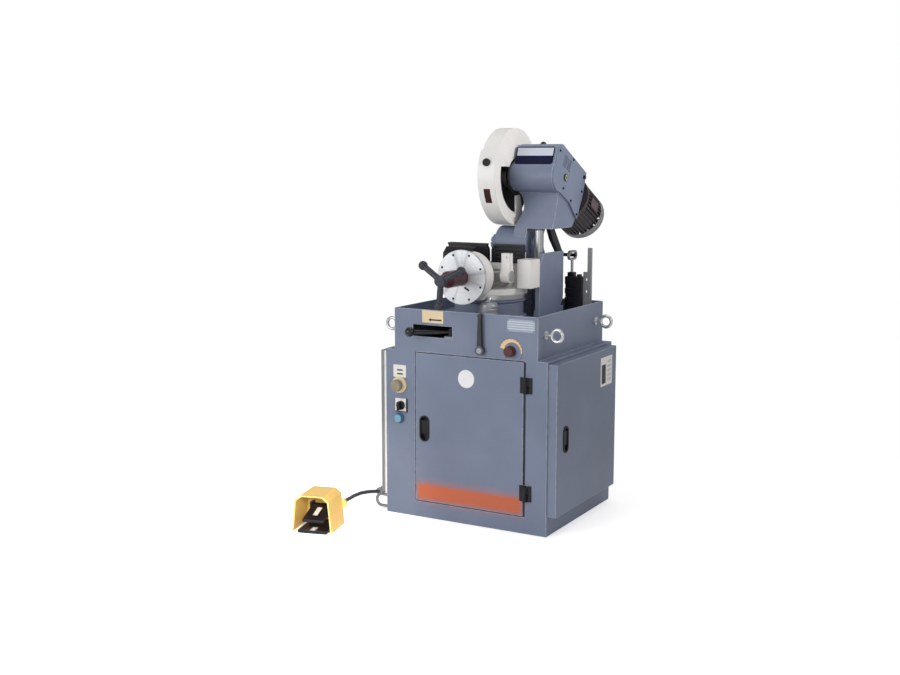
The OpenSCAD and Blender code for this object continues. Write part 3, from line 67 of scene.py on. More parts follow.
joints = {j["name"]: j for j in frame["joints"]}

# Places and directions that several pieces share
RIGHT, BACK, UP = Vector((1, 0, 0)), Vector((0, 1, 0)), Vector((0, 0, 1))
SPINDLE = Vector(joints["spindle_spin"]["pos_m"])
WHEEL_AXIS = Vector(joints["handwheel_turn"]["pos_m"])
MOTOR_AXIS = Vector(joints["motor_spin"]["axis"])
TREADLE_AXIS = Vector(joints["treadle_press"]["axis"])
HEAD_TURN = Matrix.Rotation(math.atan2(MOTOR_AXIS.z, MOTOR_AXIS.y), 3, "X")
PEDAL_TURN = Matrix.Rotation(math.atan2(TREADLE_AXIS.y, TREADLE_AXIS.x), 3, "Z")
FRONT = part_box("front_panel")[0].y


def head_frame(x, y, z):
    """A head-local place in the part's frame: x across, y to the rear along the head, z square to it."""
    return SPINDLE + HEAD_TURN @ Vector((x, y, z))


# Materials

MIX_FACTOR, MIX_FROM, MIX_TO, MIX_COLOUR = 0, 6, 7, 2   # sockets of a Mix node that mixes colours
NOISE_SPAN = (0.3, 0.7)                                 # where most of a noise's values lie
FLAT_COSINE, SHARP_COSINE = 0.985, 0.86                 # agreement of the rounded and the true normal


def srgb(code):
    """Linear colour of a #rrggbb code."""
    parts = [int(code[i:i + 2], 16) / 255 for i in (1, 3, 5)]
    return tuple(c / 12.92 if c <= 0.04045 else ((c + 0.055) / 1.055) ** 2.4 for c in parts) + (1.0,)


class Surface:
    """A node material under construction, with a Principled shader and object coordinates in metres."""

    def __init__(self, name):
        self.material = bpy.data.materials.new(name)
        self.material.use_nodes = True
        self.tree = self.material.node_tree
        self.shader = self.tree.nodes["Principled BSDF"]
        self.coords = self.add("ShaderNodeTexCoord").outputs["Object"]

    def feed(self, socket, value):
        """Gives a socket a plain value, or a link from another socket."""
        if isinstance(value, bpy.types.NodeSocket):
            self.tree.links.new(value, socket)
        else:
            socket.default_value = value

    def add(self, kind, inputs=None, **settings):
        """A new node with its settings and what its inputs are fed with."""
        node = self.tree.nodes.new(kind)
        for key, value in settings.items():
            setattr(node, key, value)
        for key, value in (inputs or {}).items():
            self.feed(node.inputs[key], value)
        return node

    def set(self, **values):
        """Feeds the shader's inputs, named with _ for each space."""
        for key, value in values.items():
            self.feed(self.shader.inputs[key.replace("_", " ")], value)

    def math(self, operation, a, b=0.0):
        return self.add("ShaderNodeMath", {0: a, 1: b}, operation=operation).outputs["Value"]

    def both(self, a, b):
        return self.math("MULTIPLY", a, b)

    def vector_math(self, operation, *vectors):
        """A vector, or a number where the operation gives one."""
        made = self.add("ShaderNodeVectorMath", dict(enumerate(vectors)), operation=operation)
        return made.outputs["Value" if operation in ("LENGTH", "DOT_PRODUCT") else "Vector"]

    def mix(self, amount, a, b):
        """A colour from a to b as the amount goes from 0 to 1."""
        inputs = {MIX_FACTOR: amount, MIX_FROM: a, MIX_TO: b}
        return self.add("ShaderNodeMix", inputs, data_type="RGBA").outputs[MIX_COLOUR]

    def ramp(self, value, low, high, low_to=0.0, high_to=1.0):
        """A value mapped from one span to another and held at the ends."""
        inputs = {"Value": value, "From Min": low, "From Max": high, "To Min": low_to, "To Max": high_to}
        return self.add("ShaderNodeMapRange", inputs).outputs["Result"]

    def spread(self, noise, low_to, high_to):
        """A noise mapped so that its usual values fill a span."""
        return self.ramp(noise, *NOISE_SPAN, low_to, high_to)

    def above(self, value, limit, soft):
        """1 where a value is over a limit, with a soft step."""
        return self.ramp(value, limit - soft, limit + soft)

    def below(self, value, limit, soft):
        """1 where a value is under a limit, with a soft step."""
        return self.ramp(value, limit + soft, limit - soft)

    def within(self, value, low, high, soft):
        """1 where a value lies between two limits, with soft steps."""
        return self.both(self.above(value, low, soft), self.below(value, high, soft))

    def near(self, value, centre, reach):
        """1 where a value lies within reach of a centre, with hard ends."""
        away = self.math("ABSOLUTE", self.math("SUBTRACT", value, centre))
        return self.math("LESS_THAN", away, reach)

    def axis(self, name):
        return self.add("ShaderNodeSeparateXYZ", {"Vector": self.coords}).outputs[name]

    def spokes(self, centre, along):
        """Vector to a point from the line through a centre along X or Y, square to that line."""
        square = {"X": (0.0, 1.0, 1.0), "Y": (1.0, 0.0, 1.0)}[along]
        away = self.vector_math("SUBTRACT", self.coords, tuple(centre))
        return self.vector_math("MULTIPLY", away, square)

    def radius(self, centre, along):
        """Distance from the line through a centre along X or Y."""
        return self.vector_math("LENGTH", self.spokes(centre, along))

    def stretched(self, scale):
        """Coordinates scaled along each axis by itself."""
        return self.add("ShaderNodeMapping", {"Vector": self.coords, "Scale": scale}).outputs["Vector"]

    def noise(self, scale, detail=3.0, rough=0.55, vector=None):
        inputs = {"Vector": vector or self.coords, "Scale": scale, "Detail": detail, "Roughness": rough}
        return self.add("ShaderNodeTexNoise", inputs).outputs["Fac"]

    def rings(self, radius, scale, detail):
        """Noise that changes with a radius only, as tool marks on a turned face do."""
        inputs = {"W": self.math("MULTIPLY", radius, scale), "Scale": 1.0, "Detail": detail}
        return self.add("ShaderNodeTexNoise", inputs, noise_dimensions="1D").outputs["Fac"]

    def rounded_normal(self, radius):
        return self.add("ShaderNodeBevel", {"Radius": radius}, samples=4).outputs["Normal"]

    def bump(self, height, strength, depth=0.0002, soft=None):
        """Relief from a height, on edges that look rounded by a soft radius."""
        inputs = {"Height": height, "Strength": strength, "Distance": depth}
        if soft:
            inputs["Normal"] = self.rounded_normal(soft)
        self.set(Normal=self.add("ShaderNodeBump", inputs).outputs["Normal"])

    def edges(self, radius):
        """1 along sharp edges and corners, 0 on flat and gently curved faces."""
        flat = self.add("ShaderNodeNewGeometry").outputs["Normal"]
        agreement = self.vector_math("DOT_PRODUCT", self.rounded_normal(radius), flat)
        return self.ramp(agreement, FLAT_COSINE, SHARP_COSINE)


def paint(name, colour, shade, gloss=0.42, grain=700.0, relief=0.25, dust=0.10, worn_and_lit="#b9bdc8", wear_and_highlight=0.8,
          edge=0.003, shine=0.5, over=None):
    """Sprayed paint: fine orange peel, slow changes of tone, grime in patches, edges pale in places (rubbed
    paint and painted highlight).

    over, where there is one, is a function that lays a second colour over the base.
    """
    s = Surface(name)
    tone = s.ramp(s.noise(3.5, detail=4.0), 0.35, 0.65)
    base = s.mix(tone, srgb(shade), srgb(colour))
    if over:
        base = over(s, base)
    grime = s.ramp(s.noise(38.0, detail=5.0, rough=0.7), 0.62, 0.80, 0.0, dust)
    dusty = s.mix(grime, base, srgb("#2b2c30"))
    # Pale edges in patches: rubbed paint, and on some finishes also a painted highlight along rounded
    # edges.
    patches = s.ramp(s.noise(55.0, detail=4.0, rough=0.65), 0.36, 0.58, 0.35 * wear_and_highlight, wear_and_highlight)
    s.set(Base_Color=s.mix(s.both(s.edges(edge), patches), dusty, srgb(worn_and_lit)))
    peel = s.noise(grain, detail=2.0)
    s.set(Roughness=s.spread(peel, gloss - 0.06, gloss + 0.08), Specular_IOR_Level=shine)
    s.bump(peel, relief, depth=0.0003, soft=0.0024)
    return s.material


def airbrushed_band(s, base):
    """Soft orange stripe along the foot of the front door, with a fainter halo and fine specks."""
    x_span, z_span = (-0.178, 0.212), (0.062, 0.118)
    halo_strength = 0.62

    def field(soft_x, soft_z):
        return s.both(s.within(s.axis("X"), *x_span, soft_x), s.within(s.axis("Z"), *z_span, soft_z))

    core, halo = field(0.008, 0.009), field(0.024, 0.026)
    specks = s.spread(s.noise(900.0, detail=2.0), 0.78, 1.0)
    glow = s.math("MAXIMUM", core, s.math("MULTIPLY", halo, halo_strength))
    return s.mix(s.both(glow, specks), base, srgb("#cb6230"))


def dark_hub(s, base):
    """Dark round field about the spindle on the fixed guard's right wall."""
    reach, wall_x = 0.0608, -0.00575
    disc = s.below(s.radius(SPINDLE, "X"), reach, 0.0002)
    wall = s.above(s.axis("X"), wall_x, 0.00025)
    return s.mix(s.both(disc, wall), base, srgb("#1d1a1c"))


def machined(name, colour, shade, gloss=0.30, brush=(60.0, 60.0, 1200.0), metallic=1.0):
    """Bright metal with fine tool marks across one direction and faint stains."""
    s = Surface(name)
    marks = s.noise(1.0, detail=4.0, rough=0.6, vector=s.stretched(brush))
    stain = s.ramp(s.noise(22.0, detail=4.0), 0.45, 0.75, 0.0, 0.5)
    marked = s.mix(marks, srgb(colour), srgb(shade))
    s.set(Base_Color=s.mix(stain, marked, srgb(shade)), Metallic=metallic)
    s.set(Roughness=s.spread(marks, gloss - 0.08, gloss + 0.12))
    s.bump(marks, 0.12, soft=0.0008)
    return s.material


def faced(name, centre, colour, shade, metallic=0.55, gloss=0.34):
    """A lathe-turned face about an axis along Y: fine paler and darker rings, and darker streaks from the
    hub that are painted reflections.
    """
    s = Surface(name)
    rings = s.rings(s.radius(centre, "Y"), 1400.0, detail=4.0)
    spoke = s.vector_math("NORMALIZE", s.spokes(centre, "Y"))
    # Darker streaks out from the hub: painted reflections, not marks in the steel.
    reflection_streak = s.ramp(s.noise(2.2, detail=2.0, rough=0.5, vector=spoke), 0.52, 0.70, 0.0, 0.75)
    ringed = s.mix(s.ramp(rings, 0.35, 0.65, 0.0, 0.5), srgb(colour), srgb(shade))
    s.set(Base_Color=s.mix(reflection_streak, ringed, srgb(shade)), Metallic=metallic)
    s.set(Roughness=s.spread(rings, gloss - 0.08, gloss + 0.1))
    s.bump(rings, 0.15, soft=0.0012)
    return s.material


def moulded(name, colour, shade, gloss=0.45, relief=0.2, shine=0.5):
    """Moulded plastic: a fine leathery grain and patches rubbed to a second tone."""
    s = Surface(name)
    rub = s.ramp(s.noise(30.0), 0.5, 0.75)
    s.set(Base_Color=s.mix(rub, srgb(colour), srgb(shade)))
    skin = s.noise(900.0)
    s.set(Roughness=s.spread(skin, gloss - 0.05, gloss + 0.10), Specular_IOR_Level=shine)
    s.bump(skin, relief, soft=0.0008)
    return s.material


def lever_material():
    """Clamp lever: a grey collar with a paler core on its axis, and a black arm."""
    s = Surface("clamp_lever_finish")
    collar, core = 0.0153, 0.0090
    radius = s.radius(joints["clamp_swing"]["pos_m"], "Y")
    skin = s.noise(500.0)
    patches = s.ramp(s.noise(80.0, detail=4.0), 0.4, 0.6, 0.2, 0.7)
    black = s.mix(skin, srgb("#1b1c1f"), srgb("#292a2e"))
    black = s.mix(s.both(s.edges(0.001), patches), black, srgb("#6f7176"))
    grey = s.mix(skin, srgb("#4b4d56"), srgb("#666973"))
    grey = s.mix(s.above(radius, core, 0.0005), srgb("#9a9da6"), grey)
    arm = s.above(radius, collar, 0.0003)
    s.set(Base_Color=s.mix(arm, grey, black), Metallic=s.ramp(arm, 0.0, 1.0, 0.5, 0.0))
    s.set(Roughness=s.spread(skin, 0.26, 0.42))
    s.bump(skin, 0.2, soft=0.001)
    return s.material


def feed_dial(s, fade):
    """Panel-grey disc about the feed knob, with a ticked cream arc that is wide at its left end."""
    centre = Vector(joints["feed_turn"]["pos_m"])
    start, end = -0.15, 2.9                           # radians from the right, over the top
    thin_end, wide_end = 0.0365, 0.0235               # inner radius of the arc
    ticks_per_radian, tick_share, tick_foot = 3.5, 0.06, 0.0372
    radius = s.radius(centre, "Y")
    across = s.math("SUBTRACT", s.axis("X"), centre.x)
    rise = s.math("SUBTRACT", s.axis("Z"), centre.z)
    turn = s.math("ARCTAN2", rise, across)
    inner = s.ramp(turn, start, end, thin_end, wide_end)
    arc = s.both(s.math("GREATER_THAN", radius, inner), s.within(turn, start, end, 0.02))
    phase = s.math("FRACT", s.math("MULTIPLY", turn, ticks_per_radian))
    ticks = s.both(s.near(phase, 0.5, tick_share), s.math("GREATER_THAN", radius, tick_foot))
    cream = s.mix(fade, srgb("#f0d3a0"), srgb("#e2b87c"))
    grey = s.mix(fade, srgb("#7b839a"), srgb("#6f7890"))
    return s.mix(arc, grey, s.mix(ticks, cream, srgb("#4a3a2c")))


def panel_material():
    """Plates round the controls: cream ring, white selector plate framed black, blue bezel, feed dial."""
    s = Surface("control_plate_finish")
    low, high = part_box("selector_knob")
    knob = (low + high) / 2
    ring_foot, plate_top, plate_foot, dial_left = 0.4125, 0.402, 0.353, 0.0505
    frame_right, frame_low = knob.x + 0.01875, knob.z - 0.01975
    x, z = s.axis("X"), s.axis("Z")
    fade = s.noise(140.0, detail=4.0)
    cream = s.mix(fade, srgb("#f2e3c0"), srgb("#e4cf9f"))
    blue = s.mix(fade, srgb("#2c4f74"), srgb("#456f96"))
    colour = s.mix(s.above(z, ring_foot, 0.0005), srgb("#e9e8e6"), cream)
    edges = s.math("MAXIMUM", s.above(x, frame_right, 0.00025), s.below(z, frame_low, 0.00025))
    on_plate = s.within(z, plate_foot, plate_top, 0.0002)
    colour = s.mix(s.both(edges, on_plate), colour, srgb("#1a1b1f"))
    colour = s.mix(s.below(z, plate_foot, 0.0002), colour, blue)
    colour = s.mix(s.above(x, dial_left, 0.0005), colour, feed_dial(s, fade))
    s.set(Base_Color=colour, Roughness=s.spread(fade, 0.3, 0.45))
    s.bump(s.noise(700.0, detail=2.0), 0.1, soft=0.0008)
    return s.material


def wheel_material():
    """Handwheel: dark red hub behind, slate-black arms and boss in front."""
    s = Surface("handwheel_finish")
    hub_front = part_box("handwheel")[0].y + 0.0265
    skin = s.noise(420.0, detail=4.0, rough=0.7)
    streaks = s.noise(1.0, detail=4.0, rough=0.6, vector=s.stretched((30.0, 260.0, 30.0)))
    slate = s.mix(skin, srgb("#25262f"), srgb("#3d3e4a"))
    red = s.mix(streaks, srgb("#241014"), srgb("#57272a"))
    colour = s.mix(s.above(s.axis("Y"), hub_front, 0.0003), slate, red)
    patches = s.ramp(s.noise(90.0, detail=4.0), 0.4, 0.6, 0.1, 0.5)
    s.set(Base_Color=s.mix(s.both(s.edges(0.002), patches), colour, srgb("#7d7c84")))
    s.set(Roughness=s.spread(skin, 0.30, 0.46), Specular_IOR_Level=0.35)
    s.bump(skin, 0.3, depth=0.0005, soft=0.0015)
    return s.material


def oil_material():
    """Oil fittings: dark plugs, and a sight glass with a pale green ring on the gear cover."""
    s = Surface("oil_fitting_finish")
    glass_rim, ring_inner, ring_outer = 0.0115, 0.0055, 0.0102
    radius = s.radius(head_frame(0.0, 0.043, 0.016), "X")
    skin = s.noise(400.0)
    green = s.mix(skin, srgb("#9aa46a"), srgb("#bcc08c"))
    glass = s.mix(s.within(radius, ring_inner, ring_outer, 0.0004), srgb("#23251b"), green)
    plug = s.mix(skin, srgb("#1d191b"), srgb("#312a2d"))
    s.set(Base_Color=s.mix(s.above(radius, glass_rim, 0.0002), glass, plug))
    s.set(Roughness=s.spread(skin, 0.22, 0.38), Specular_IOR_Level=0.35)
    s.bump(skin, 0.15, soft=0.0008)
    return s.material


def blade_material():
    """Saw blade: dark oxide with turned rings about the spindle, and a bright ground rim."""
    s = Surface("blade_finish")
    rim = 0.1515
    radius = s.radius(SPINDLE, "X")
    rings = s.rings(radius, 900.0, detail=3.0)
    oxide = s.mix(rings, srgb("#241c1e"), srgb("#4b4043"))
    s.set(Base_Color=s.mix(s.above(radius, rim, 0.001), oxide, srgb("#9a9da2")), Metallic=0.9)
    s.set(Roughness=s.spread(rings, 0.26, 0.42))
    s.bump(rings, 0.1)
    return s.material


BLUE_GREY = ("#79839a", "#6f798f")
# Wide, pale edges: rubbed paint, and also a painted highlight where rounded sheet-metal edges catch the
# light.
EDGE_WEAR_AND_HIGHLIGHT = dict(worn_and_lit="#c3c7d2", wear_and_highlight=1.0, edge=0.0045)
ENAMEL = ("#e9e8e6", "#dedcd8")
ENAMEL_LOOK = dict(gloss=0.30, relief=0.12, dust=0.04, worn_and_lit="#bdb7aa", wear_and_highlight=0.4, edge=0.0015)
CAST_LOOK = dict(gloss=0.36, grain=500.0, relief=0.35, dust=0.0)
FINISHES = {
    "paint": paint("blue_grey_paint", *BLUE_GREY, shine=0.4, **EDGE_WEAR_AND_HIGHLIGHT),
    "grey_paint": paint("plain_grey_paint", "#8b8d90", "#7c7e82", gloss=0.48, worn_and_lit="#b5b7ba"),
    "cream_paint": paint("white_enamel", *ENAMEL, **ENAMEL_LOOK),
    "steel": machined("machined_steel", "#c9cbcd", "#9c9fa3"),
    "blade_steel": blade_material(),
    "black_metal": paint("black_paint", "#1f1e25", "#141319", **CAST_LOOK, worn_and_lit="#63656c", wear_and_highlight=0.55,
                         edge=0.0018, shine=0.3),
    "black_plastic": moulded("black_plastic", "#17181a", "#26282b", shine=0.3),
    "brown_plastic": moulded("brown_plastic", "#4a231d", "#6b392c", gloss=0.32),
    "cream_plastic": moulded("cream_plastic", "#e9e4d6", "#d8d2c2", gloss=0.4),
    "blue_plastic": moulded("blue_plastic", "#23598c", "#3f7fb4", gloss=0.22),
    "yellow_paint": paint("yellow_enamel", "#f4cf7c", "#edbf62", gloss=0.36, relief=0.3, dust=0.05,
                          worn_and_lit="#faeab8", wear_and_highlight=0.9),
}
FRONT_PAINT = paint("front_paint", *BLUE_GREY, shine=0.4, **EDGE_WEAR_AND_HIGHLIGHT, over=airbrushed_band)
OWN_FINISHES = {
    "handwheel": wheel_material(),
    "cylinder_cover": faced("cover_steel", WHEEL_AXIS, "#dcdee1", "#989ba2"),
    "oil_fittings": oil_material(),
    # Motor: pale fin edges are rubbed paint and also painted highlights on the fins.
    "motor_body": paint("motor_paint", "#3b3237", "#2a2327", **CAST_LOOK, worn_and_lit="#8a8086", wear_and_highlight=0.8,
                        edge=0.0022, shine=0.35),
    "gear_cover": paint("gear_cover_paint", *BLUE_GREY, shine=0.4, wear_and_highlight=0.5, edge=0.0014),
    "front_panel": FRONT_PAINT,
    "front_door": FRONT_PAINT,
    "control_plates": panel_material(),
    "clamp_lever": lever_material(),
    "stop_button": moulded("stop_cap", "#8f8673", "#a89e88", gloss=0.34),
    "lamp_button": moulded("lamp_lens", "#7aa9c0", "#5a8ea9", gloss=0.16),
    "slot_lever": moulded("lever_black", "#121214", "#1d1d20", gloss=0.14, relief=0.08),
    "eye_bolts": machined("zinc", "#e4e5e6", "#c3c5c8", gloss=0.26, brush=(300.0, 300.0, 300.0),
                          metallic=0.75),
    # Left seal: white as a gasket, and also a painted highlight along the cabinet's left edge.
    "left_seal": moulded("white_seal_and_highlight", "#efeeea", "#e2e0da", gloss=0.5),
    "fixed_guard": paint("guard_enamel", *ENAMEL, **ENAMEL_LOOK, over=dark_hub),
}
for part in frame["record"]["subparts"]:
    finish = OWN_FINISHES.get(part["node"]) or FINISHES.get(part["material_slot"])
    if finish:
        slots = nodes[part["node"]].data.materials
        slots.clear()
        slots.append(finish)


# Cable

CORD_DIAMETER = 0.012
CORD_ROUTE = [
    (-0.360, -0.433, 0.066), (-0.362, -0.425, 0.066), (-0.363, -0.416, 0.067), (-0.362, -0.406, 0.069),
    (-0.360, -0.395, 0.071), (-0.357, -0.384, 0.074), (-0.354, -0.372, 0.076), (-0.351, -0.360, 0.077),
    (-0.348, -0.347, 0.078), (-0.345, -0.334, 0.077), (-0.342, -0.320, 0.076), (-0.339, -0.306, 0.074),
    (-0.336, -0.292, 0.072), (-0.333, -0.278, 0.069), (-0.331, -0.264, 0.067)]


def sheath():
    """Ribbed dark sheath of the pedal's cable."""
    s = Surface("cable_sheath")
    ribs = s.add("ShaderNodeTexWave", {"Vector": s.coords, "Scale": 170.0, "Distortion": 0.0},
                 bands_direction="Y")
    skin = s.noise(600.0)
    s.set(Base_Color=s.mix(skin, srgb("#2c2d31"), srgb("#43454a")), Roughness=s.spread(skin, 0.4, 0.58))
    s.bump(ribs.outputs["Fac"], 0.5, depth=0.0006)
    return s.material


def cable():
    """The pedal's cable as one curve along its route."""
    curve = bpy.data.curves.new("pedal_cable", "CURVE")
    curve.dimensions = "3D"
    curve.bevel_depth = CORD_DIAMETER / 2
    curve.bevel_resolution = 6
    curve.use_fill_caps = True
    line = curve.splines.new("BEZIER")
    line.bezier_points.add(len(CORD_ROUTE) - 1)
    for point, place in zip(line.bezier_points, CORD_ROUTE):
        point.co = place
        point.handle_left_type = point.handle_right_type = "AUTO"
    piece = bpy.data.objects.new("pedal_cable", curve)
    bpy.context.scene.collection.objects.link(piece)
    curve.materials.append(sheath())
    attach(piece, "frame")
    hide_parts("cord")


cable()


# Shapes of the small pieces

LIFT = 0.00005                          # air between a plate and what carries it
FILM, FILM_EDGE = 0.0004, 0.0002        # thickness of a printed film, and its chamfer
PLATE, PLATE_EDGE = 0.0012, 0.0004      # thickness of a metal label plate, and its chamfer


def keep(name, mesh, finish, body, place=Matrix()):
    """Links a mesh as a piece that rides on a body."""
    mesh.materials.append(finish)
    piece = bpy.data.objects.new(name, mesh)
    piece.matrix_world = place
    bpy.context.scene.collection.objects.link(piece)
    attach(piece, body)


def facing(centre, across, up):
    """Matrix whose x runs across a face, y up it and z out of it, with its origin just off the face."""
    out = across.cross(up)
    made = Matrix((across, up, out)).transposed().to_4x4()
    made.translation = Vector(centre) + out * LIFT
    return made


def on_front(x, z, proud=0.0):
    """Place on the front panel's face, or that far in front of it."""
    return facing((x, FRONT - proud, z), RIGHT, UP)


def on_head(x, y, z):
    """Place on a right-hand face of the head, from a head-local centre."""
    return facing(head_frame(x, y, z), HEAD_TURN @ BACK, HEAD_TURN @ UP)


def arc(radius, start, end, steps):
    """Points of an arc about the origin, from one angle in degrees to another."""
    angles = [math.radians(start + (end - start) * i / steps) for i in range(steps + 1)]
    return [(radius * math.cos(a), radius * math.sin(a)) for a in angles]


def disc(radius, steps):
    """Outline of a circle about the origin."""
    return arc(radius, 0, 360, steps)[:-1]


def rounded(width, height, corner):
    """Outline of a rectangle with round corners, about the origin."""
    x, y = width / 2 - corner, height / 2 - corner
    points = []
    for i, (side_x, side_y) in enumerate(((x, y), (-x, y), (-x, -y), (x, -y))):
        points += [(side_x + u, side_y + v) for u, v in arc(corner, 90 * i, 90 * (i + 1), 6)]
    return points


def bridge(bm, low, high):
    """Faces between two rings of as many vertices."""
    n = len(low)
    for i in range(n):
        bm.faces.new((low[i], low[(i + 1) % n], high[(i + 1) % n], high[i]))


def finished_mesh(name, bm):
    mesh = bpy.data.meshes.new(name)
    bm.to_mesh(mesh)
    bm.free()
    return mesh


def slab(name, outline, thickness, edge, finish, body, place):
    """Keeps a flat solid on an outline in x and y, with a small chamfer round its outer face."""
    bm = bmesh.new()
    middle = sum((Vector(p) for p in outline), Vector((0, 0))) / len(outline)
    shrink = 1 - edge / max((Vector(p) - middle).length for p in outline)
    low = [bm.verts.new((x, y, 0)) for x, y in outline]
    high = [bm.verts.new((x, y, thickness - edge)) for x, y in outline]
    top = [bm.verts.new((*(middle + (Vector(p) - middle) * shrink), thickness)) for p in outline]
    bm.faces.new(low[::-1])
    bm.faces.new(top)
    bridge(bm, low, high)
    bridge(bm, high, top)
    keep(name, finished_mesh(name, bm), finish, body, place)


def ring(bm, place, height, reaches):
    """Vertices round z at a height, each at its own reach."""
    made = []
    for i, reach in enumerate(reaches):
        a = math.tau * i / len(reaches)
        made.append(bm.verts.new(place @ Vector((reach * math.cos(a), reach * math.sin(a), height))))
    return made


def cap(bm, rings):
    """Closes the first and the last of a row of rings."""
    bm.faces.new(rings[0][::-1])
    bm.faces.new(rings[-1])


def hexagon(corner, steps):
    """Reach of a hexagon's outline at each step round it, from the reach of its corners."""
    side = math.pi / 3
    flat = corner * math.cos(side / 2)
    return [flat / math.cos((math.tau * i / steps) % side - side / 2) for i in range(steps)]


def screws(name, places, radius, height, body, finish, socket=0.5):
    """Socket-head screws in one piece, each place a matrix whose z runs out of the face."""
    steps = 24
    shoulder, crown, socket_floor = height * 0.82, radius * 0.88, height * 0.45
    outside = ((radius, 0), (radius, shoulder), (crown, height))
    bm = bmesh.new()
    for place in places:
        rings = [ring(bm, place, h, [r] * steps) for r, h in outside]
        rings += [ring(bm, place, h, hexagon(radius * socket, steps)) for h in (height, socket_floor)]
        for low, high in zip(rings, rings[1:]):
            bridge(bm, low, high)
        cap(bm, rings)
    keep(name, finished_mesh(name, bm), finish, body)


def turned(name, profile, place, steps, bore=None):
    """Solid of revolution about z from (radius, height) points, foot first, with a bore if it has one."""
    bm = bmesh.new()
    if bore:
        profile = [(bore, profile[0][1])] + profile + [(bore, profile[-1][1])]
    rings = [ring(bm, place, h, [r] * steps) for r, h in profile]
    for low, high in zip(rings, rings[1:] + rings[:1] if bore else rings[1:]):
        bridge(bm, low, high)
    if not bore:
        cap(bm, rings)
    return finished_mesh(name, bm)


# Plates and prints

def printed(name, ground, marks=(), gloss=0.35, metallic=0.0, fading=0.18, shine=0.5):
    """A printed face: a ground colour with plain blocks, each (left, right, low, high, colour) on it."""
    s = Surface(name)
    fade = s.noise(90.0, detail=4.0)
    colour = s.mix(s.ramp(fade, 0.35, 0.7, 0.0, fading), srgb(ground), srgb("#b9b6ad"))
    x, y = s.axis("X"), s.axis("Y")
    for left, right, low, high, code in marks:
        across = s.near(x, (left + right) / 2, (right - left) / 2)
        upright = s.near(y, (low + high) / 2, (high - low) / 2)
        colour = s.mix(s.both(across, upright), colour, srgb(code))
    s.set(Base_Color=colour, Metallic=metallic, Specular_IOR_Level=shine)
    s.set(Roughness=s.spread(fade, gloss - 0.06, gloss + 0.1))
    s.bump(s.noise(800.0, detail=2.0), 0.08)
    return s.material


def ruled(left, right, first, pitch, thick, count, colour):
    """Plain bars one under another as blocks of a print, from the middle of the first."""
    middles = [first - pitch * i for i in range(count)]
    return [(left, right, middle - thick / 2, middle + thick / 2, colour) for middle in middles]


def panel_plate():
    """Bare white plate with two plain bars, above the stop button."""
    x, z = -0.2465, 0.4925
    bars = ruled(-0.010, 0.012, first=0.0035, pitch=0.013, thick=0.005, count=2, colour="#2a2b30")
    slab("panel_plate", rounded(0.050, 0.042, 0.003), FILM, FILM_EDGE,
         printed("panel_print", "#e8e6e0", bars), "frame", on_front(x, z))


def slot_film():
    """Cream film above the lever's slot, and the plain arrow on it."""
    x, z = -0.118, 0.6835
    slab("slot_film", rounded(0.080, 0.041, 0.002), FILM, FILM_EDGE,
         printed("slot_print", "#e6cfa4"), "frame", on_front(x, z))
    tail, neck, tip = 0.034, -0.006, -0.016
    middle, half_shaft, half_head = -0.010, 0.0025, 0.006
    arrow = [(neck, middle - half_shaft), (tail, middle - half_shaft),
             (tail, middle + half_shaft), (neck, middle + half_shaft),
             (neck, middle + half_head), (tip, middle), (neck, middle - half_head)]
    slab("slot_arrow", arrow, FILM / 2, FILM_EDGE / 2,
         printed("arrow_print", "#1b1b1d", fading=0.03),
         "frame", on_front(x, z, proud=FILM + LIFT))


DATA_PLATE_X, DATA_PLATE_Z = 0.2055, 0.676


def data_plate():
    """Data plate under the rim, with plain ruled rows."""
    rows = ruled(-0.046, 0.046, first=0.0115, pitch=0.0075, thick=0.0024, count=4, colour="#c6ced9")
    slab("data_plate", rounded(0.099, 0.040, 0.002), PLATE, PLATE_EDGE,
         printed("data_face", "#97a3b4", rows, gloss=0.36, metallic=0.15),
         "frame", on_front(DATA_PLATE_X, DATA_PLATE_Z))


def door_badge():
    """Bare round badge on the front door."""
    radius, x, z = 0.030, 0.008, 0.488
    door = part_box("front_door")[0].y
    slab("door_badge", disc(radius, 60), PLATE, 0.0005,
         printed("badge_face", "#e9eaec", gloss=0.28, fading=0.06),
         "front_door", facing((x, door, z), RIGHT, UP))


def side_plate():
    """White plate on the side door, with a dark column and plain rows."""
    size, y, z = 0.099, 0.1427, 0.482
    column = (-0.041, -0.006, -0.041, 0.024, "#2b2c33")
    rows = ruled(0.006, 0.042, first=0.031, pitch=0.0155, thick=0.010, count=5, colour="#c9cbd0")
    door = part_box("side_door")[1].x
    slab("side_plate", rounded(size, size, 0.003), FILM, FILM_EDGE,
         printed("side_print", "#eae9e7", [column] + rows, fading=0.08, shine=0.2),
         "side_door", facing((door, y, z), BACK, UP))


def head_plate():
    """Bare two-tone plate on the front face of the head's gear housing."""
    x = 0.078
    top, low = Vector((x, -0.050, 0.087)), Vector((x, -0.046, 0.022))     # head-local ends of the face
    pale = (-0.067, 0.067, -0.001, 0.0275, "#c6ccd8")
    up = (HEAD_TURN @ (top - low)).normalized()
    slab("head_plate", rounded(0.142, 0.064, 0.010), PLATE, PLATE_EDGE,
         printed("head_print", "#0d1334", [pale], gloss=0.45, fading=0.0, shine=0.15),
         "head", facing(head_frame(*((top + low) / 2)), RIGHT, up))


def motor_plate():
    """Bare plate on the motor's flank."""
    x, y, z = 0.1822, 0.275, 0.018
    field = (-0.026, 0.026, -0.013, 0.013, "#5b474b")
    slab("motor_plate", rounded(0.060, 0.034, 0.002), PLATE, PLATE_EDGE,
         printed("motor_print", "#4e3d42", [field], gloss=0.4, fading=0.1),
         "head", on_head(x, y, z))


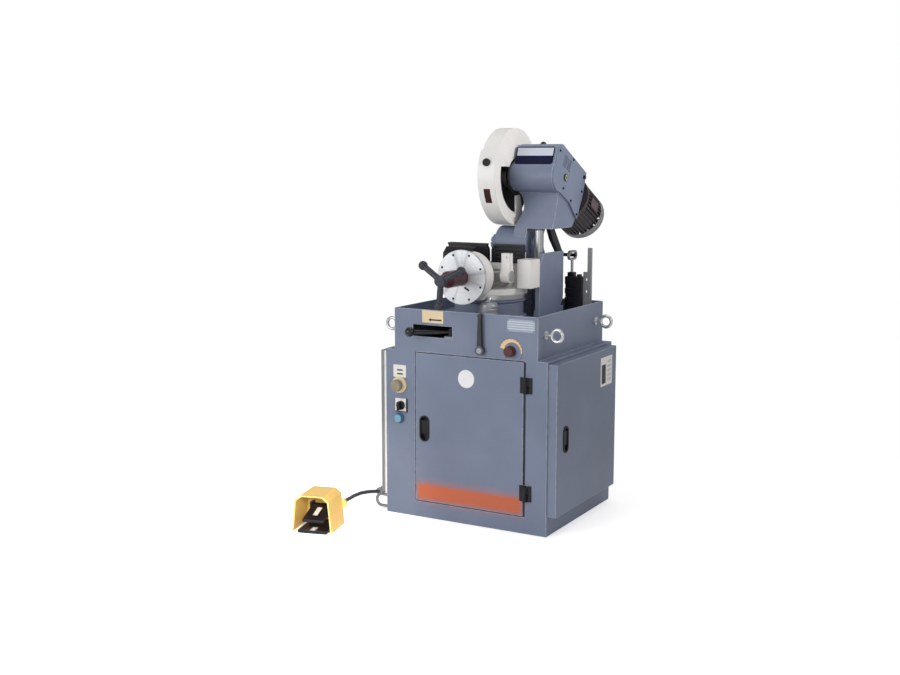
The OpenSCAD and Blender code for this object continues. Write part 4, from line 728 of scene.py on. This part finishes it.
def pedal_labels():
    """Bare white labels on the treadle and on the base in front of it."""
    pedal = Vector((-0.397, -0.527, 0))
    tread_run, tread_rise = 0.102, 0.026
    slope = Vector((0, tread_run, tread_rise)).normalized()
    for name, body, place, up, size in (
            ("tread_label", "treadle", (0.005, -0.020, 0.0588), slope, (0.016, 0.050)),
            ("base_label", "frame", (0.005, -0.055, 0.0100), BACK, (0.018, 0.034))):
        centre = pedal + PEDAL_TURN @ Vector(place)
        slab(name, rounded(*size, 0.001), FILM, FILM_EDGE / 2,
             printed(name + "_print", "#eceae4", fading=0.1),
             body, facing(centre, PEDAL_TURN @ RIGHT, PEDAL_TURN @ up))


def guard_sticker():
    """Bare dark-red sticker bent round the moving guard's rim."""
    rim, left, right = 0.168, -0.042, -0.018
    foot, top = rim + LIFT, rim + LIFT + FILM
    bm = bmesh.new()
    columns = []
    for y, z in arc(1.0, 194, 211.5, 12):
        columns.append([bm.verts.new(Vector((x, SPINDLE.y, SPINDLE.z)) + Vector((0, y, z)) * reach)
                        for x, reach in ((left, foot), (right, foot), (right, top), (left, top))])
    for a, b in zip(columns, columns[1:]):
        bridge(bm, a, b)
    cap(bm, columns)
    bmesh.ops.recalc_face_normals(bm, faces=bm.faces)
    keep("guard_sticker", finished_mesh("guard_sticker", bm),
         printed("sticker_print", "#3a1512", fading=0.02, shine=0.15), "moving_guard")


def guard_disc():
    """Bare round sticker low on the moving guard's right wall."""
    radius, forward, down = 0.011, 0.019, 0.150
    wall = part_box("moving_guard")[1].x
    slab("guard_disc", disc(radius, 36), FILM, FILM_EDGE,
         printed("disc_print", "#cfc4a4", fading=0.1),
         "moving_guard", facing((wall, SPINDLE.y - forward, SPINDLE.z - down), BACK, UP))


# Trim, fasteners and small forms

BLACK_OXIDE = machined("black_oxide", "#26272b", "#17181b", gloss=0.34, brush=(500.0, 500.0, 500.0),
                       metallic=0.6)


def door_gap_shadow():
    """Dark strip, a painted shadow of the gap along the front door's hinged edge, in lengths between the
    hinges.
    """
    hinge_tall, clear, gap = 0.0525, 0.0015, 0.0012
    width, thick = 0.0065, 0.0012
    low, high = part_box("front_door")
    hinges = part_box("front_door_fittings")
    breaks = [low.z, hinges[0].z - hinge_tall / 2 - clear,
              hinges[0].z + hinge_tall / 2 + clear, hinges[1].z - hinge_tall - clear,
              hinges[1].z + clear, high.z]
    # Dark rubber-looking strips: painted shadow where the door stands off the panel.
    shadow_strip_finish = moulded("gap_shadow_rubber", "#2e2c31", "#3d3b41", gloss=0.5, shine=0.2)
    for name, foot, head in zip(("low_gap_shadow", "middle_gap_shadow", "high_gap_shadow"), breaks[::2], breaks[1::2]):
        slab(name, rounded(width, head - foot, 0.001), thick, 0.0004, shadow_strip_finish, "frame",
             on_front(high.x + gap + width / 2, (foot + head) / 2))


def guard_webs():
    """Inner ends of the guards' right walls, which close the window that the blade shows in."""
    rim, thick, steps = 0.1238, 0.0029, 12
    low = arc(rim, 264, 289.8, steps) + [(0.0233, -0.0639), (-0.0130, -0.0665)]
    high = arc(rim, 148.2, 164.5, steps) + [(-0.0540, 0.0331)]
    for name, outline, guard, body in (("low_guard_web", low, "moving_guard", "moving_guard"),
                                       ("high_guard_web", high, "fixed_guard", "head")):
        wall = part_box(guard)[1].x - thick - 2 * LIFT
        slab(name, outline, thick, 0.0003, FINISHES["cream_paint"], body,
             facing((wall, SPINDLE.y, SPINDLE.z), BACK, UP))


def cover_fasteners():
    """Ring of screws in the cylinder cover, and the dark slot below its hub."""
    count, inset, sunk = 8, 0.012, 0.003
    low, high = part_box("cylinder_cover")
    pitch_radius = (high.z - low.z) / 2 - inset
    half_step = 180 / count
    spots = arc(pitch_radius, half_step, 360 - half_step, count - 1)
    places = [facing((WHEEL_AXIS.x + x, low.y + sunk, WHEEL_AXIS.z + z), RIGHT, UP) for x, z in spots]
    screws("cover_screws", places, 0.0036, 0.0030, "swivel", BLACK_OXIDE)
    slant = Matrix.Rotation(math.radians(31), 3, "Y")
    slot_x, slot_z = WHEEL_AXIS.x + 0.021, WHEEL_AXIS.z - 0.037
    slab("cover_slot", rounded(0.021, 0.0066, 0.0032), FILM, FILM_EDGE, BLACK_OXIDE, "swivel",
         facing((slot_x, low.y, slot_z), slant @ RIGHT, slant @ UP))


def housing_screws():
    """Screws round the gear cover, at head-local places."""
    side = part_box("gear_cover")[1].x
    spots = ((-0.038, 0.078), (0.075, 0.098), (0.188, 0.030),
             (0.184, -0.058), (0.118, -0.036), (0.042, -0.024))
    screws("housing_screws", [on_head(side, y, z) for y, z in spots], 0.0042, 0.0032, "head", BLACK_OXIDE)


def foot_screws():
    """Screws that hold the right side of the column's foot down."""
    x, flange = 0.099, 0.026
    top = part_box("column")[0].z + flange
    places = [facing((x, y, top), RIGHT, BACK) for y in (0.130, 0.178)]
    screws("foot_screws", places, 0.0075, 0.008, "frame", BLACK_OXIDE)


def plate_rivets():
    """Rivets at the corners of the data plate."""
    half_x, half_z = 0.0455, 0.016
    places = [on_front(DATA_PLATE_X + x, DATA_PLATE_Z + z, proud=PLATE + LIFT)
              for x in (-half_x, half_x) for z in (-half_z, half_z)]
    screws("plate_rivets", places, 0.0017, 0.0010, "frame", BLACK_OXIDE, socket=0.35)


def pillar_bell():
    """Bell-shaped foot with turned steps round the clamp's pillar."""
    neck, shoulder, dome_wide, dome_tall = 0.0135, 0.0565, 0.018, 0.013
    low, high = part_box("clamp_pillar")
    middle = (low + high) / 2
    steps = [(0.036, 0.0003), (0.037, 0.002), (0.037, 0.034), (0.0355, 0.0355), (0.0355, 0.046),
             (0.0335, 0.048), (0.0335, 0.055)]
    dome = [(neck + dome_wide * u, shoulder + dome_tall * v) for u, v in arc(1.0, 0, 90, 8)]
    profile = steps + dome + [(neck, 0.075), (0.0125, 0.0765)]
    finish = machined("turned_foot", "#b4b6bd", "#84868f", gloss=0.36, brush=(40.0, 40.0, 900.0),
                      metallic=0.7)
    place = Matrix.Translation((middle.x, middle.y, low.z))
    keep("pillar_bell", turned("pillar_bell", profile, place, 64), finish, "frame")


def pivot_sleeve():
    """Swell of the head's casting round its pivot barrel, which the arm's front face runs into."""
    left, right, radius, bore, fillet = -0.0655, 0.0595, 0.0612, 0.0543, 0.006
    pivot = Vector(joints["head_tilt"]["pos_m"])
    end = [(radius - fillet + v, fillet - u) for u, v in arc(fillet, 0, 90, 6)]
    profile = end + [(r, right - left - h) for r, h in reversed(end)]
    place = Matrix.Translation((left, pivot.y, pivot.z)) @ Matrix.Rotation(math.pi / 2, 4, "Y")
    sleeve = turned("pivot_sleeve", profile, place, 96, bore)
    keep("pivot_sleeve", sleeve, FINISHES["paint"], "head")


def hinge_leaves():
    """The other half of each front hinge's two leaves, so that both leaves run the hinge's full height."""
    tall, reach, clear, thick, lap = 0.052, 0.021, 0.0076, 0.003, 0.0003
    half, width = tall / 2, reach - clear
    axis = Vector(joints["front_door_swing"]["pos_m"])
    low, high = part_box("front_door_fittings")
    for name, foot in (("low", low.z - half - lap), ("high", high.z - tall)):
        for leaf, body, side, z in (("_door_leaf", "front_door", -1, foot + half * 0.5),
                                    ("_frame_leaf", "frame", 1, foot + half * 1.5)):
            slab(name + leaf, rounded(width, half, 0.001), thick, 0.0006, FINISHES["black_metal"], body,
                 on_front(axis.x + side * (clear + width / 2), z))


panel_plate()
slot_film()
data_plate()
door_badge()
side_plate()
head_plate()
motor_plate()
pedal_labels()
door_gap_shadow()
guard_sticker()
guard_disc()
guard_webs()
cover_fasteners()
housing_screws()
foot_screws()
plate_rivets()
pillar_bell()
pivot_sleeve()
hinge_leaves()


# Stage, light and camera

WHITE = (1, 1, 1, 1)


def stage():
    """White floor: lit and shadowed near the machine, fading to plain white further out."""
    size, drop = 12.0, 0.0005
    lit_within, plain_from = 0.75, 1.9
    floor = bpy.data.meshes.new("floor")
    corners = [(-size, -size, 0), (size, -size, 0), (size, size, 0), (-size, size, 0)]
    floor.from_pydata(corners, [], [(0, 1, 2, 3)])
    piece = bpy.data.objects.new("floor", floor)
    piece.location.z = -drop
    bpy.context.scene.collection.objects.link(piece)
    s = Surface("floor_finish")
    path = s.add("ShaderNodeLightPath").outputs
    seen = s.math("MAXIMUM", path["Is Camera Ray"], s.math("MULTIPLY", path["Is Glossy Ray"], 0.4))
    far = s.both(s.ramp(s.vector_math("LENGTH", s.coords), lit_within, plain_from), seen)
    s.set(Base_Color=s.mix(far, (0.90, 0.90, 0.90, 1), (0.0, 0.0, 0.0, 1)), Roughness=0.8)
    s.set(Emission_Color=WHITE, Emission_Strength=s.both(seen, s.ramp(far, 0.0, 1.0, 0.55, 1.0)))
    floor.materials.append(s.material)


def world():
    """Plain white behind the machine, and a softer white as light on it."""
    light, backdrop = 0.36, 1.0
    made = bpy.data.worlds.new("studio")
    bpy.context.scene.world = made
    made.use_nodes = True
    tree = made.node_tree
    background = tree.nodes["Background"]
    background.inputs["Color"].default_value = WHITE
    path = tree.nodes.new("ShaderNodeLightPath").outputs
    level = tree.nodes.new("ShaderNodeMapRange")
    level.inputs["To Min"].default_value = light
    level.inputs["To Max"].default_value = backdrop
    tree.links.new(path["Is Camera Ray"], level.inputs["Value"])
    tree.links.new(level.outputs["Result"], background.inputs["Strength"])


def lamp(name, place, target, size, power, colour=(1, 1, 1), spread=180):
    """Square area lamp aimed at a target: size in metres, power in watts, spread in degrees."""
    light = bpy.data.lights.new(name, "AREA")
    light.size = size
    light.energy = power
    light.color = colour
    light.spread = math.radians(spread)
    piece = bpy.data.objects.new(name, light)
    piece.location = place
    piece.rotation_euler = (Vector(target) - Vector(place)).to_track_quat("-Z", "Y").to_euler()
    bpy.context.scene.collection.objects.link(piece)


def camera():
    """The photograph's view: from the right of the front, about as high as the machine."""
    yaw, pitch = math.radians(29.69), math.radians(8.41)
    made = bpy.data.cameras.new("camera")
    made.sensor_width = 36.0
    made.lens = 49.25
    made.clip_end = 60.0
    piece = bpy.data.objects.new("camera", made)
    piece.location = (1.9148, -3.7101, 1.2072)
    piece.rotation_euler = (math.pi / 2 - pitch, 0.0, yaw)
    bpy.context.scene.collection.objects.link(piece)
    bpy.context.scene.camera = piece


stage()
world()
lamp("key", (-1.2, -3.4, 1.7), (0.0, 0.0, 0.6), size=2.2, power=58)
lamp("front_fill", (2.2, -3.2, 1.3), (0.0, 0.0, 0.8), size=1.6, power=14)
lamp("fill", (3.2, -0.6, 2.2), (0.0, 0.0, 0.6), size=2.6, power=8, colour=(1.0, 0.78, 0.72))
lamp("head_fill", (2.2, 0.1, 1.9), (0.0, 0.1, 1.25), size=0.7, power=1.6, colour=(1.0, 0.98, 0.97),
     spread=36)
lamp("pedal_fill", (0.35, -1.45, 0.55), (-0.40, -0.52, 0.06), size=0.35, power=0.8,
     colour=(1.0, 0.96, 0.90), spread=32)
lamp("top", (0.2, 0.6, 3.6), (0.0, 0.0, 0.8), size=2.4, power=26)
camera()
bpy.context.scene.view_settings.view_transform = "Standard"
